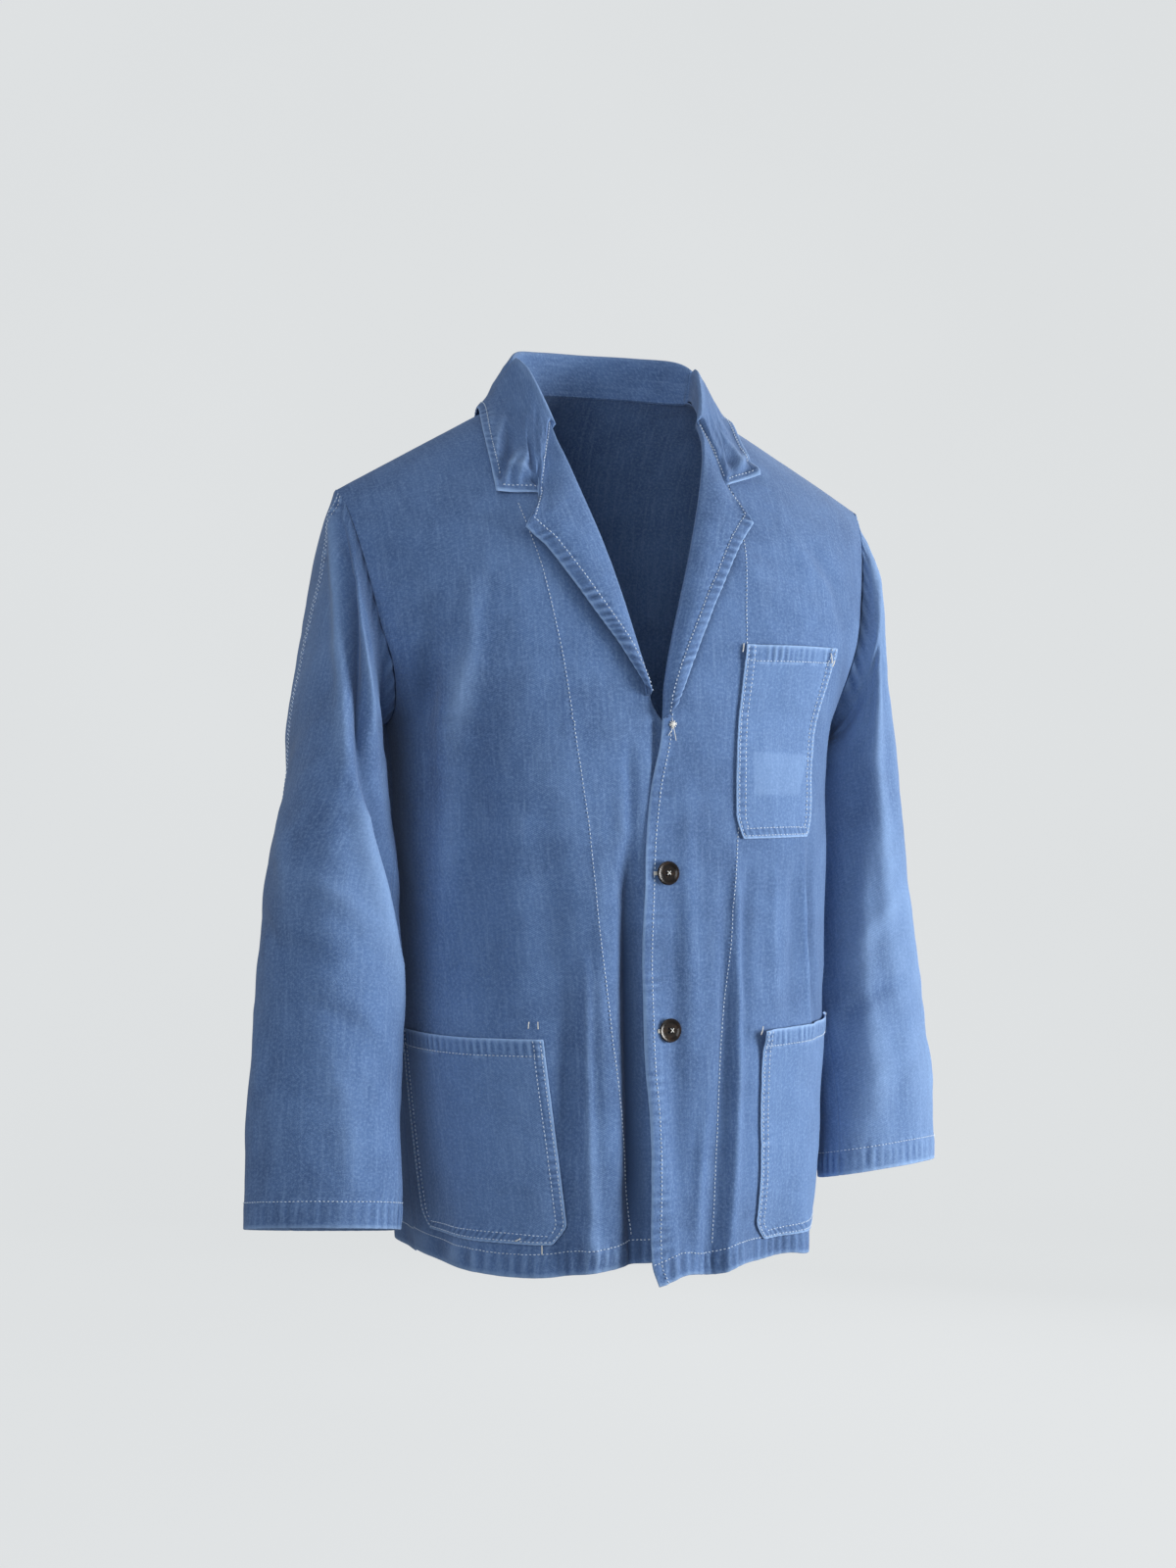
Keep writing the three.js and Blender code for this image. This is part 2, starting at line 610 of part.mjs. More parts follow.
function collar() {
  const sections = [];
  for (let k = 0; k <= COLLAR_STEPS; k += 1) {
    const t = (2 * k) / COLLAR_STEPS - 1;
    sections.push(collarSection(t < 0 ? -1 : 1, Math.abs(t)));
  }
  const columns = sections[0].length;
  const at = (i, j) => sections[clamp(j, 0, COLLAR_STEPS)][clamp(i, 0, columns - 1)];
  const outer = [];
  const inner = [];
  for (let j = 0; j <= COLLAR_STEPS; j += 1) {
    for (let i = 0; i < columns; i += 1) {
      const alongI = at(i + 1, j).clone().sub(at(i - 1, j));
      const alongJ = at(i, j + 1).clone().sub(at(i, j - 1));
      const normal = alongI.cross(alongJ).normalize();
      outer.push(at(i, j).clone().addScaledVector(normal, CLOTH / 2));
      inner.push(at(i, j).clone().addScaledVector(normal, -CLOTH / 2));
    }
  }
  return shell(outer, inner, columns, COLLAR_STEPS + 1);
}

// A patch pocket: a straight top, sides that may slant, and cut lower corners
function pocket({ side, inner, outer, top, bottom, cut, slant }) {
  return wall((u, w) => {
    const across = (u - 0.5) * 2;
    const z = lerp(bottom, top, w);
    const corner = Math.pow(1 - Math.min(1, w / cut), POCKET_CORNER_ROUND);
    const narrow = 1 - POCKET_CORNER_IN * corner;
    const s = lerp(inner, outer, 0.5 + across * narrow * 0.5) + slant * (1 - w);
    const point = body(s, levelAt(0, z), -1);
    return frontAt(side, s, levelAt(point.x, z), POCKET_LIFT);
  }, POCKET_STEPS);
}

function asManifold(geometry) {
  return new wasm.Manifold(new wasm.Mesh({
    numProp: 3,
    vertProperties: new Float32Array(geometry.getAttribute('position').array),
    triVerts: new Uint32Array(geometry.getIndex().array),
  }));
}

function asGeometry(manifold) {
  const mesh = manifold.getMesh();
  const geometry = new THREE.BufferGeometry();
  geometry.setAttribute('position', new THREE.BufferAttribute(mesh.vertProperties, 3));
  geometry.setIndex(new THREE.BufferAttribute(mesh.triVerts, 1));
  geometry.computeVertexNormals();
  return geometry;
}

// A round solid about +Z from its outline: each row is a radius and a height, bottom middle to top middle
function turned(outline, segments) {
  const points = [new THREE.Vector3(0, 0, outline[0].z)];
  const faces = [];
  const rings = outline.slice(1, -1);
  for (const { r, z } of rings) {
    for (let k = 0; k < segments; k += 1) {
      const a = (k * 2 * Math.PI) / segments;
      points.push(new THREE.Vector3(r * Math.cos(a), r * Math.sin(a), z));
    }
  }
  points.push(new THREE.Vector3(0, 0, outline[outline.length - 1].z));
  const last = points.length - 1;
  for (let k = 0; k < segments; k += 1) {
    const next = (k + 1) % segments;
    faces.push(0, 1 + next, 1 + k);
    for (let ring = 0; ring < rings.length - 1; ring += 1) {
      const low = 1 + ring * segments;
      const high = low + segments;
      faces.push(low + k, low + next, high + next, low + k, high + next, high + k);
    }
    const top = 1 + (rings.length - 1) * segments;
    faces.push(last, top + k, top + next);
  }
  return solidFrom(points, faces);
}

// A sewn button with four holes, a dished face and a round rim
function button() {
  const outline = buttonOutline.map(({ inward, share }) => (
    { r: BUTTON_RADIUS - inward, z: BUTTON_THICK * share }));
  let solid = asManifold(turned(outline, BUTTON_SIDES));
  for (let k = 0; k < 4; k += 1) {
    const a = radians(45 + 90 * k);
    const hole = turned([
      { r: 0, z: -1 },
      { r: BUTTON_HOLE / 2, z: -1 },
      { r: BUTTON_HOLE / 2, z: BUTTON_THICK + 1 },
      { r: 0, z: BUTTON_THICK + 1 },
    ], BUTTON_HOLE_SIDES);
    hole.translate(BUTTON_HOLE_RING * Math.cos(a), BUTTON_HOLE_RING * Math.sin(a), 0);
    solid = solid.subtract(asManifold(hole));
  }
  return asGeometry(solid);
}

const jacket = new THREE.Group();

function add(name, geometry, material) {
  const mesh = new THREE.Mesh(geometry, material);
  mesh.name = name;
  jacket.add(mesh);
  return mesh;
}

add('back', backPanel(), cottonBlue);
for (const [word, side] of [['right', -1], ['left', 1]]) {
  add(`${word}_front`, frontPanel(side), cottonBlue);
  add(`${word}_lapel`, lapel(side), cottonBlue);
  add(`${word}_top_sleeve`, sleevePiece(side, true), cottonBlue);
  add(`${word}_under_sleeve`, sleevePiece(side, false), cottonBlue);
}
add('collar', collar(), cottonBlue);
for (const row of pockets) add(row.name, pocket(row), pocketBlue);

// Buttons stand on the left front and face out from it
for (const [name, z] of Object.entries(BUTTON_HEIGHTS)) {
  const level = levelAt(BUTTON_X, z);
  const s = acrossAt(BUTTON_X, level);
  const seat = frontAt(1, s, level, CLOTH / 2 + SEAM_GAP);
  const out = frontAt(1, s, level, CLOTH / 2 + SEAM_GAP + 1).sub(seat);
  const mesh = add(name, button(), buttonDark);
  mesh.position.copy(seat);
  mesh.quaternion.setFromUnitVectors(new THREE.Vector3(0, 0, 1), out.normalize());
}

export default jacket;
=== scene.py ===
"""A chore jacket of washed blue cotton in its worn form: thin cloth shells with their folds, puckered
seams, stitches and buttons, laid out as an add-on with one operator for each kind of piece."""

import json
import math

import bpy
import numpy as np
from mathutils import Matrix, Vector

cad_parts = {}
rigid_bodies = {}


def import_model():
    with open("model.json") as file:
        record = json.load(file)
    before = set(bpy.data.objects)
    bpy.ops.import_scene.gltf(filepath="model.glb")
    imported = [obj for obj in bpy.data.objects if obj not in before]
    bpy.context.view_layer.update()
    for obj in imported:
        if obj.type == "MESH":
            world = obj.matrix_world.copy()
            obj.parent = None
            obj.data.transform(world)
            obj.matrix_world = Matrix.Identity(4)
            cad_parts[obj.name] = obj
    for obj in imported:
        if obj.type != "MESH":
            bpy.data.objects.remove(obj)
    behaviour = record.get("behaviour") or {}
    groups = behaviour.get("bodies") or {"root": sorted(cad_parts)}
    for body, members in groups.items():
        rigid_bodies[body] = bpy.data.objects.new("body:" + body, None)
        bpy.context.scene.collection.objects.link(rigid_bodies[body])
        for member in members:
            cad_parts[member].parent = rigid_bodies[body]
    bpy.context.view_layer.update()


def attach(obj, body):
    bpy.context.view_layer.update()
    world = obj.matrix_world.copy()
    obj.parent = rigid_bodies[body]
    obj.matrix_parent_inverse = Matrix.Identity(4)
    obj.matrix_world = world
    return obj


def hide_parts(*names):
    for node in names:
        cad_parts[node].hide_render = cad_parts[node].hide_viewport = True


bl_info = {
    "name": "Chore jacket",
    "version": (1, 0, 0),
    "blender": (4, 5, 0),
    "location": "View3D > Sidebar > Jacket",
    "description": "Builds a washed cotton chore jacket in its worn form",
    "category": "Object",
}

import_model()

MM = 0.001
INNER_WEAR_AND_PAINTED_LIGHT = 0.4
RIGHT, LEFT = -1, 1
FRONT, BACK = -1, 1
WORD = {RIGHT: "right", LEFT: "left"}


def table(columns, *rows):
    """Named columns of numbers, from a row of column names and short rows."""
    return {name: np.array([row[k] for row in rows], float) for k, name in enumerate(columns.split())}


# Points across and along each piece's grid; with the stitches they stay under a million triangles
FRONT_GRID = (130, 210)
BACK_GRID = (150, 176)
TOP_SLEEVE_GRID = (84, 190)
UNDER_SLEEVE_GRID = (70, 176)
LAPEL_GRID = (60, 150)
POCKET_GRID = (100, 110)
COLLAR_GRID = (120, 260)

# Body of the jacket, in millimetres, as it was cut and as it hangs
MID_X = 5.0
SIDE_Y = 10.0
HEM_Z = -722.0
ARMPIT_Z = -290.0
SQUARE = 2.5
RIDGE_TOP_Z = 30.0
RIDGE_SLOPE = 0.56
RIDGE_ROUND = 30.0
NECK_HALF = 75.0
NAPE_Z = -8.0
ARMHOLE_OPEN = 0.43
ARMHOLE_FULL_AT = 0.3
DRAPE_BASE = 150.0
LAP_LIFT = 2.7
LAP_REACH = 60.0
LAP_OPENING = 7.0
ARMPIT_ROW = 0.54
RIGHT_HEM_RISE = 21.0
LEFT_HEM_RISE = -5.0

# How the body closes on the shoulder ridge: the power of the level, then that of the whole
CLOSING = {FRONT: (2.2, 0.625), BACK: (3.0, 0.556)}

BODY = table(
    "v half front back",
    (-1, 167, 150, 126), (-0.8, 175, 150, 121), (-0.58, 182, 148, 115), (-0.3, 186, 145, 111),
    (-0.08, 188, 140, 111), (0, 193, 138, 112), (0.2, 212, 138, 113), (0.4, 225, 138, 113),
    (1, 247, 138, 113),
)
RIGHT_EDGE = table(
    "v x",
    (-1, 22), (-0.14, 22), (-0.05, 10), (0.042, -10), (0.108, -15), (0.327, -33), (0.61, -55),
    (0.778, -65), (0.866, -68), (1, -70),
)
LEFT_EDGE = table(
    "v x",
    (-1, -17), (-0.96, -22), (-0.75, -21), (-0.556, -25), (-0.255, -21), (-0.123, -14),
    (-0.028, -5), (0.106, -1), (0.31, 15), (0.58, 40), (0.805, 62), (1, 80),
)
DRAPES = table(
    "face s wide out start",
    (FRONT, -0.17, 0.17, 7, -0.2), (FRONT, 0.19, 0.15, 6, -0.25), (BACK, -0.68, 0.24, 9, 0.1),
    (BACK, -0.36, 0.22, -7, 0.1), (BACK, -0.06, 0.24, 10, 0.2), (BACK, 0.3, 0.22, -7, 0.1),
    (BACK, 0.64, 0.24, 9, 0.1),
)
SLEEVES = {
    RIGHT: table(
        "at x y z across deep tilt turn pitch",
        (0.1, -221, 9, -222, 79, 72, 77, 0, 0), (0.2, -226, 5, -249, 62, 77, 69, 0, 0),
        (0.3, -230, -2, -282, 47, 78, 51, 2, 0), (0.38, -235, -12, -317, 40, 76, 24, 5, 1),
        (0.46, -240, -24, -356, 42, 74, 7, 12, 2), (0.54, -245, -34, -402, 51, 69, 0, 20, 3),
        (0.63, -248, -38, -459, 55, 63, 0, 22, 5), (0.72, -251, -41, -516, 58, 56, 0, 22, 8),
        (0.83, -255, -46, -582, 60, 49, 0, 22, 11), (0.93, -258, -55, -643, 61, 44, 0, 22, 13),
        (1, -260, -58, -684, 61, 42, 0, 22, 13),
    ),
    LEFT: table(
        "at x y z across deep tilt turn pitch",
        (0.1, 227, 11, -222, 77, 70, 78, 0, 0), (0.2, 229, 14, -250, 60, 75, 71, 0, 0),
        (0.3, 232, 18, -283, 45, 76, 53, 0, 0), (0.38, 238, 25, -318, 40, 75, 24, 0, 0),
        (0.46, 242, 30, -358, 42, 71, 7, 5, 1), (0.58, 244, 28, -430, 48, 65, 0, 10, 3),
        (0.69, 246, 17, -500, 53, 58, 0, 15, 6), (0.81, 245, -5, -567, 57, 50, 0, 20, 9),
        (0.92, 243, -25, -627, 59, 45, 0, 22, 12), (1, 242, -33, -674, 60, 42, 0, 22, 12),
    ),
}
HIND_SEAM = (12.0, -62.0)
FORE_SEAM = (172.0, 168.0)
LAPELS = {
    RIGHT: table(
        "at rollZ x z",
        (0, -268, -19, -261), (0.25, -225, -40, -228), (0.5, -178, -66, -191), (0.75, -125, -92, -153),
        (0.88, -98, -105, -141), (1, -58, -90, -117),
    ),
    LEFT: table(
        "at rollZ x z",
        (0, -286, 6, -277), (0.25, -235, 21, -243), (0.5, -180, 43, -197), (0.75, -120, 70, -150),
        (0.88, -92, 85, -132), (1, -54, 74, -109),
    ),
}
COLLAR_BACK = (
    (0, 35, 6, 0, 98, 0), (0.25, 35, 5, 62, 88, 0), (0.5, 34, 6, 98, 52, 0),
)
COLLARS = {
    RIGHT: table(
        "at stand lean rimX rimY gorge", *COLLAR_BACK,
        (0.7, 25, 7, 112, 12, 0), (0.86, 12, 4, 123, -32, 0.3), (1, 5, 0, 127, -74, 1),
    ),
    LEFT: table(
        "at stand lean rimX rimY gorge", *COLLAR_BACK,
        (0.7, 25, 7, 104, 10, 0), (0.86, 12, 4, 102, -32, 0.3), (1, 8, 0, 99, -73, 1),
    ),
}
NOTCHES = {RIGHT: (-88.0, -109.0), LEFT: (71.0, -97.0)}
COLLAR_SHOULDER_AT = 0.7
COLLAR_FRONT_V = 0.86
COLLAR_LIFT = 5.0
COLLAR_FOLD_RADIUS = 3.0

# Patch pockets: across is the place between the side seam and the middle, in shares of the front
POCKETS = {
    "chest_pocket": dict(
        side=LEFT, inner=0.2, outer=0.49, top=-228, bottom=-383, cut=0.12, slant=-0.015, curl=(0.8, 1.6)),
    "right_pocket": dict(
        side=RIGHT, inner=-0.37, outer=-0.93, top=-537, bottom=-696, cut=0.1, slant=0.045, curl=(1.2, 0.5)),
    "left_pocket": dict(
        side=LEFT, inner=0.26, outer=0.84, top=-537, bottom=-705, cut=0.1, slant=0.0, curl=(5.0, 6.0)),
}
POCKET_LIFT = 2.7
LAPEL_LIFT = 2.1
LAPEL_STAND_OFF = 6.0
ARMHOLE_OUT = 0.5
ARMPIT_OUT = 0.9


def ease(t):
    """A smooth step from 0 to 1: three t squared less two t cubed."""
    c = np.clip(t, 0, 1)
    return c * c * (3 - 2 * c)


def lerp(a, b, t):
    """The value a share t of the way from a to b."""
    return a + (b - a) * t


def cubic(a, b, slope_a, slope_b, span, t):
    """A smooth curve from a to b with a slope at each end, read at a share t of its span."""
    start = a * (1 + 2 * t) * (1 - t) ** 2 + slope_a * span * t * (1 - t) ** 2
    end = b * t * t * (3 - 2 * t) + slope_b * span * t * t * (t - 1)
    return start + end


def read(rows, key, at, column):
    """Smooth reading of a table's column: a cubic through its rows with slopes from the neighbours."""
    keys, values = rows[key], rows[column]
    last = len(keys) - 1
    at = np.clip(np.asarray(at, float), keys[0], keys[-1])
    i = np.clip(np.searchsorted(keys, at, side="left") - 1, 0, last - 1)
    low = np.maximum(np.arange(last + 1) - 1, 0)
    high = np.minimum(np.arange(last + 1) + 1, last)
    slope = (values[high] - values[low]) / (keys[high] - keys[low])
    span = keys[i + 1] - keys[i]
    return cubic(values[i], values[i + 1], slope[i], slope[i + 1], span, (at - keys[i]) / span)


def half_at(v):
    """Half width of the body at level v."""
    return read(BODY, "v", v, "half")


def depth_at(v, face):
    """Depth of the body at level v: full to the armpit, then a rounded fall to the shoulder ridge."""
    full = read(BODY, "v", v, "front" if face == FRONT else "back")
    rise, power = CLOSING[face]
    up = np.clip(v, 0, 1)
    return full * (1 - up**rise) ** power


def ridge_z(x):
    """Height of the shoulder ridge: an even slope to both sides, rounded in the middle."""
    return RIDGE_TOP_Z - RIDGE_SLOPE * np.hypot(x - MID_X, RIDGE_ROUND)


def height_at(x, v):
    """Height of level v at a point across: even below the armpit, towards the ridge above it."""
    low = ARMPIT_Z + v * (ARMPIT_Z - HEM_Z)
    return np.where(v < 0, low, ARMPIT_Z + (ridge_z(x) - ARMPIT_Z) * v)


def level_at(x, z):
    """Level of a height at a point across, the other way round from height_at."""
    up = z - ARMPIT_Z
    return np.where(z < ARMPIT_Z, up / (ARMPIT_Z - HEM_Z), up / (ridge_z(x) - ARMPIT_Z))


def across_at(x, v):
    """Place across, from -1 at the right side seam to 1 at the left one, of a point x on level v."""
    share = np.clip(np.abs(x - MID_X) / half_at(v), 0, 0.9999) ** SQUARE
    return np.sign(x - MID_X) * np.arctan((share / (1 - share)) ** (1 / SQUARE)) * 2 / math.pi


def drape_at(s, v, face):
    """How far the drape folds stand out: cosine waves that grow from where they start to the hem."""
    out = np.zeros(np.broadcast(s, v).shape)
    for k in np.flatnonzero(DRAPES["face"] == face):
        off = np.minimum(np.abs(s - DRAPES["s"][k]) / DRAPES["wide"][k], 1)
        start = DRAPES["start"][k]
        grown = np.clip((start - v) / (start + 1), 0, None)
        out = out + DRAPES["out"][k] * grown * 0.5 * (1 + np.cos(math.pi * off))
    return out


def body(s, v, face):
    """Body surface: rounded squares about the middle up to the armpit, closing on the shoulder ridge."""
    s, v = np.broadcast_arrays(np.asarray(s, float), np.asarray(v, float))
    sin, cos = np.sin(s * math.pi / 2), np.clip(np.cos(s * math.pi / 2), 0, None)
    grow = (np.abs(sin) ** SQUARE + cos**SQUARE) ** (-1 / SQUARE) * (1 + drape_at(s, v, face) / DRAPE_BASE)
    x = MID_X + half_at(v) * sin * grow
    y = SIDE_Y + face * depth_at(v, face) * cos * grow
    return np.stack([x, y, height_at(x, v)], -1)


def unit(a):
    """Vectors of length one."""
    return a / np.maximum(np.linalg.norm(a, axis=-1, keepdims=True), 1e-12)


def body_out(s, v, face):
    """Outward unit normal of the body surface, from near points across and up."""
    step = 0.003
    across = body(np.minimum(s + step, 1), v, face) - body(np.maximum(s - step, -1), v, face)
    up = body(s, np.minimum(v + step, 0.9999), face) - body(s, v - step, face)
    return unit(np.cross(across, up)) * -face


def armhole_at(v):
    """Place across of the armhole's edge at level v."""
    short = 1 - np.clip(v / ARMHOLE_FULL_AT, 0, 1)
    open_ = ARMHOLE_OPEN * np.sqrt(1 - short * short)
    reach = (1 - open_**SQUARE) ** (1 / SQUARE)
    return np.where(v <= 0, 1.0, np.arctan2(reach, open_) * 2 / math.pi)


def level_of_row(row):
    """Level of a row of a panel: even to the armpit, then closer together towards the ridge."""
    low = -1 + row / ARMPIT_ROW
    high = 1 - (1 - np.clip((row - ARMPIT_ROW) / (1 - ARMPIT_ROW), 0, 1)) ** 1.8
    return np.where(row < ARMPIT_ROW, low, high)


def row_of_level(v):
    """Row of a panel for a level, the other way round from level_of_row."""
    low = (v + 1) * ARMPIT_ROW
    high = ARMPIT_ROW + (1 - ARMPIT_ROW) * (1 - np.clip(1 - v, 0, 1) ** (1 / 1.8))
    return np.where(v < 0, low, high)


def soft_noise(a, b, cell, seed):
    """Even random hills from -1 to 1: seeded values on a lattice, blended with smooth steps."""
    lattice = np.random.default_rng(seed).uniform(-1, 1, (97, 97))
    p, q = np.asarray(a) / cell, np.asarray(b) / cell
    i, j = np.floor(p).astype(int), np.floor(q).astype(int)
    fp, fq = ease(p - i), ease(q - j)
    low = lerp(lattice[i % 97, j % 97], lattice[(i + 1) % 97, j % 97], fp)
    high = lerp(lattice[i % 97, (j + 1) % 97], lattice[(i + 1) % 97, (j + 1) % 97], fp)
    return lerp(low, high, fq)


def crease(px, pz, rows):
    """Relief of listed creases: each is a soft ridge or trough along a bowed line.

    For each row the point is measured along and off the line from (x1, z1) to (x2, z2), bowed
    sideways by a sine; the height is a bell across the line times a half sine along it."""
    out = np.zeros(np.broadcast(px, pz).shape)
    for x1, z1, x2, z2, bow, wide, high in zip(*(rows[c] for c in "x1 z1 x2 z2 bow wide high".split())):
        dx, dz = x2 - x1, z2 - z1
        length = math.hypot(dx, dz)
        along = ((px - x1) * dx + (pz - z1) * dz) / length**2
        off = ((px - x1) * dz - (pz - z1) * dx) / length - bow * np.sin(math.pi * np.clip(along, 0, 1))
        fade = np.sin(math.pi * np.clip(along, 0, 1)) ** 0.7
        thin = wide * (0.75 + 0.5 * np.clip(along, 0, 1))
        out = out + high * fade * np.exp(-(off / thin) ** 2)
    return out


def creases(*rows):
    """A table of creases: both ends, bow, width and height."""
    return table("x1 z1 x2 z2 bow wide high", *rows)


# Creases of the body, x and z in millimetres: start, end, bow, width and height, troughs below 0
FRONT_CREASES = creases(
    (-164, -230, -173, -450, -5, 13, 3.4), (-146, -260, -152, -520, -6, 14, -2.8),
    (-180, -190, -184, -430, -5, 9, -6.0), (-150, -170, -186, -330, -12, 9, 2.6),
    (-100, -340, -70, -600, 8, 16, -2.6), (-69, -470, -64, -745, 2, 5, 3.6),
    (-84, -480, -80, -750, 3, 8, -3.4),
    (-56, -380, -55, -700, 3, 6, 1.2), (-34, -330, -16, -480, 5, 11, 2.0),
    (-20, -460, -2, -735, 4, 8, 2.4), (-128, -440, -128, -560, 4, 10, -2.2),
    (60, -388, 44, -745, -5, 4.5, 4.0), (50, -400, 30, -735, -6, 8, -3.4),
    (74, -400, 62, -560, 4, 7, -2.6), (53, -440, 62, -530, 3, 6, 2.4),
    (132, -388, 142, -560, 4, 4, 3.2), (142, -380, 150, -540, 4, 6, -3.0),
    (118, -400, 112, -545, -3, 7, -2.2), (100, -396, 98, -520, 3, 6, 1.8),
    (18, -330, 26, -600, 6, 9, 1.8), (6, -420, 10, -735, 5, 8, -1.8),
    (28, -600, 22, -735, 3, 6, 2.6), (58, -130, 150, -205, 10, 14, 2.2),
    (150, -140, 190, -230, -8, 11, -2.6), (120, -120, 176, -190, 6, 10, 1.8),
    (-130, -90, -70, -170, -10, 16, 1.6), (-80, -680, -40, -715, 6, 8, 2.2),
)
CREASE_GAIN = 1.25
UNDER_LAP_SINK = 3.0
UNDER_LAP = creases(
    (-35, -380, -26, -820, 0, 10, -18.0), (-31, -300, -31, -520, 0, 6, -4.0),
)
BACK_CREASES = creases(
    (-150, -160, -60, -420, 24, 16, 2.6), (150, -160, 70, -430, -22, 17, -2.4),
    (-40, -200, -20, -700, 18, 20, 2.8), (60, -300, 80, -722, -16, 18, -2.8),
    (-120, -420, -110, -722, 12, 15, -2.6), (130, -380, 128, -722, -12, 15, 2.8),
    (-170, -240, -90, -330, 12, 10, 1.8), (170, -240, 100, -340, -12, 10, 1.8),
    (-10, -90, 10, -260, 8, 22, 1.6), (-160, -300, -60, -380, 14, 10, -1.4),
    (20, -420, 40, -640, 10, 14, 1.8), (-70, -520, -64, -722, -8, 12, 2.4),
)


def hills(p, *waves):
    """Uneven cloth: seeded hills of several sizes, each with its height, its cell and its seed."""
    a, b = p[..., 0] + 400, p[..., 2] + 900
    return sum(high * soft_noise(a, b, cell, seed) for high, cell, seed in waves)


def panel_middle(x, v):
    """Share of a body panel's relief that is kept: less near the shoulder, none at the side seam."""
    return (1 - 0.75 * ease((v - 0.7) / 0.3)) * (1 - ease((np.abs(x - MID_X) / half_at(v) - 0.9) / 0.1))


def front_relief(side, p, v):
    """Relief of a front in millimetres: creases, broad unevenness and fine crumple."""
    x, z = p[..., 0], p[..., 2]
    broad = hills(p, (1.5, 62, 3 + side), (0.6, 24, 9 + side))
    fine = hills(p, (0.22, 8, 17 + side))
    lap = crease(x, z, UNDER_LAP) - UNDER_LAP_SINK * ease((x + 16) / 10) if side == RIGHT else 0.0
    return (CREASE_GAIN * crease(x, z, FRONT_CREASES) + lap + broad + fine) * panel_middle(x, v)


def back_relief(p, v):
    """Relief of the back in millimetres: creases, broad unevenness and fine crumple."""
    x, z = p[..., 0], p[..., 2]
    broad = hills(p, (1.8, 70, 31), (0.7, 28, 32))
    fine = hills(p, (0.16, 9, 33))
    return (CREASE_GAIN * crease(x, z, BACK_CREASES) + broad + fine) * panel_middle(x, v)


def hem_flare(s, across, v):
    """Waves of the hem in millimetres, uneven, none at the side seams and a hand's width above it."""
    near = np.clip((-v - 0.66) / 0.34, 0, 1) ** 2 * (1 - ease((np.abs(s) - 0.7) / 0.28))
    wave = np.sin(across * 0.055 + 0.8) + 0.7 * np.sin(across * 0.093 + 2.1) + 0.4 * np.sin(across * 0.161)
    return 3.8 * near * wave


def pucker(along, off, wavelength, reach, seed):
    """Puckers of a stitched edge: short ripples across it, uneven, fading with the distance off it."""
    sway = soft_noise(along + 900, along * 0 + 7.5, wavelength * 3, seed)
    phase = along * 2 * math.pi / wavelength + 3.6 * sway
    size = 0.6 + 0.6 * soft_noise(along + 900, along * 0 + 3.5, wavelength * 1.6, seed + 1)
    return size * np.sin(phase) * np.exp(-((off / reach) ** 2))


def groove(off, wide):
    """A stitch line's dent: a bell about the line."""
    return -np.exp(-((off / wide) ** 2))


def lap_at(side, x, v):
    """How far the left front lies out over the right one near the middle."""
    if side == RIGHT:
        return np.zeros_like(x)
    open_ = LAP_OPENING * ease((-v - 0.62) / 0.38) * (1 - ease((x + 22) / 44))
    return LAP_LIFT * (1 - ease((x - 25) / LAP_REACH)) * (1 - ease((v - 0.02) / 0.25)) + open_


def on_front(side, s, v, lift=0.0):
    """Points on a front with all its relief, moved out by a lift in millimetres."""
    base = body(s, v, FRONT)
    rise = front_relief(side, base, v) + hem_flare(s, base[..., 0], v) + lap_at(side, base[..., 0], v) + lift
    return base + body_out(s, v, FRONT) * rise[..., None]


def edge_x(side, v):
    """Inner edge of a front at level v: its free edge, then its roll line."""
    return read(RIGHT_EDGE if side == RIGHT else LEFT_EDGE, "v", v, "x")


def arc(p, axis):
    """Distance along a grid's rows or columns from its first point, in millimetres."""
    steps = np.linalg.norm(np.diff(p, axis=axis), axis=-1)
    pad = [(0, 0), (0, 0)]
    pad[axis] = (1, 0)
    return np.cumsum(np.pad(steps, pad), axis=axis)


def arc_from_end(p, axis):
    """Distance along a grid's rows or columns from its last point, in millimetres."""
    return np.flip(arc(np.flip(p, axis), axis), axis)


def grid(columns, rows):
    """Parameters u across and w up, from 0 to 1, as two arrays of rows by columns."""
    return np.meshgrid(np.linspace(0, 1, columns), np.linspace(0, 1, rows))


def out_of(p, outward):
    """Unit normals of a grid of points, turned to agree with a rough outward direction."""
    across = np.gradient(p, axis=1)
    up = np.gradient(p, axis=0)
    n = unit(np.cross(across, up))
    flip = np.sign((n * outward).sum(-1).mean())
    return n * (flip if flip else 1)


def mesh_object(name, points, faces):
    """A smooth shaded object at the origin, from points in metres and lists of faces."""
    mesh = bpy.data.meshes.new(name)
    mesh.from_pydata(points.tolist(), [], faces)
    mesh.shade_smooth()
    thing = bpy.data.objects.new(name, mesh)
    bpy.context.collection.objects.link(thing)
    return thing


def rim_points(p, n, thick, rim):
    """Points half a thickness in from a grid's rim, pushed out across it to round the cut edge."""
    tangent = np.roll(p[rim], -1, 0) - np.roll(p[rim], 1, 0)
    push = unit(np.cross(tangent, n[rim]))
    facing = np.sign(((p[rim] - p.mean(0)) * push).sum(-1).mean())
    push = push * (facing if facing else 1)
    return p[rim] - n[rim] * thick * 0.5 + push * thick * 0.4


def shell_faces(k, rim):
    """Faces of a shell: its outer grid, numbered by k, its inner grid, and two rows round the rim."""
    quads = np.stack([k[:-1, :-1], k[:-1, 1:], k[1:, 1:], k[1:, :-1]], -1).reshape(-1, 4)
    m = 2 * k.size + np.arange(len(rim))
    m_next, r_next = np.roll(m, -1), np.roll(rim, -1)
    sides = np.concatenate([
        np.stack([r_next, rim, m, m_next], -1),
        np.stack([m_next, m, rim + k.size, r_next + k.size], -1),
    ])
    return np.concatenate([quads, quads[:, ::-1] + k.size, sides])


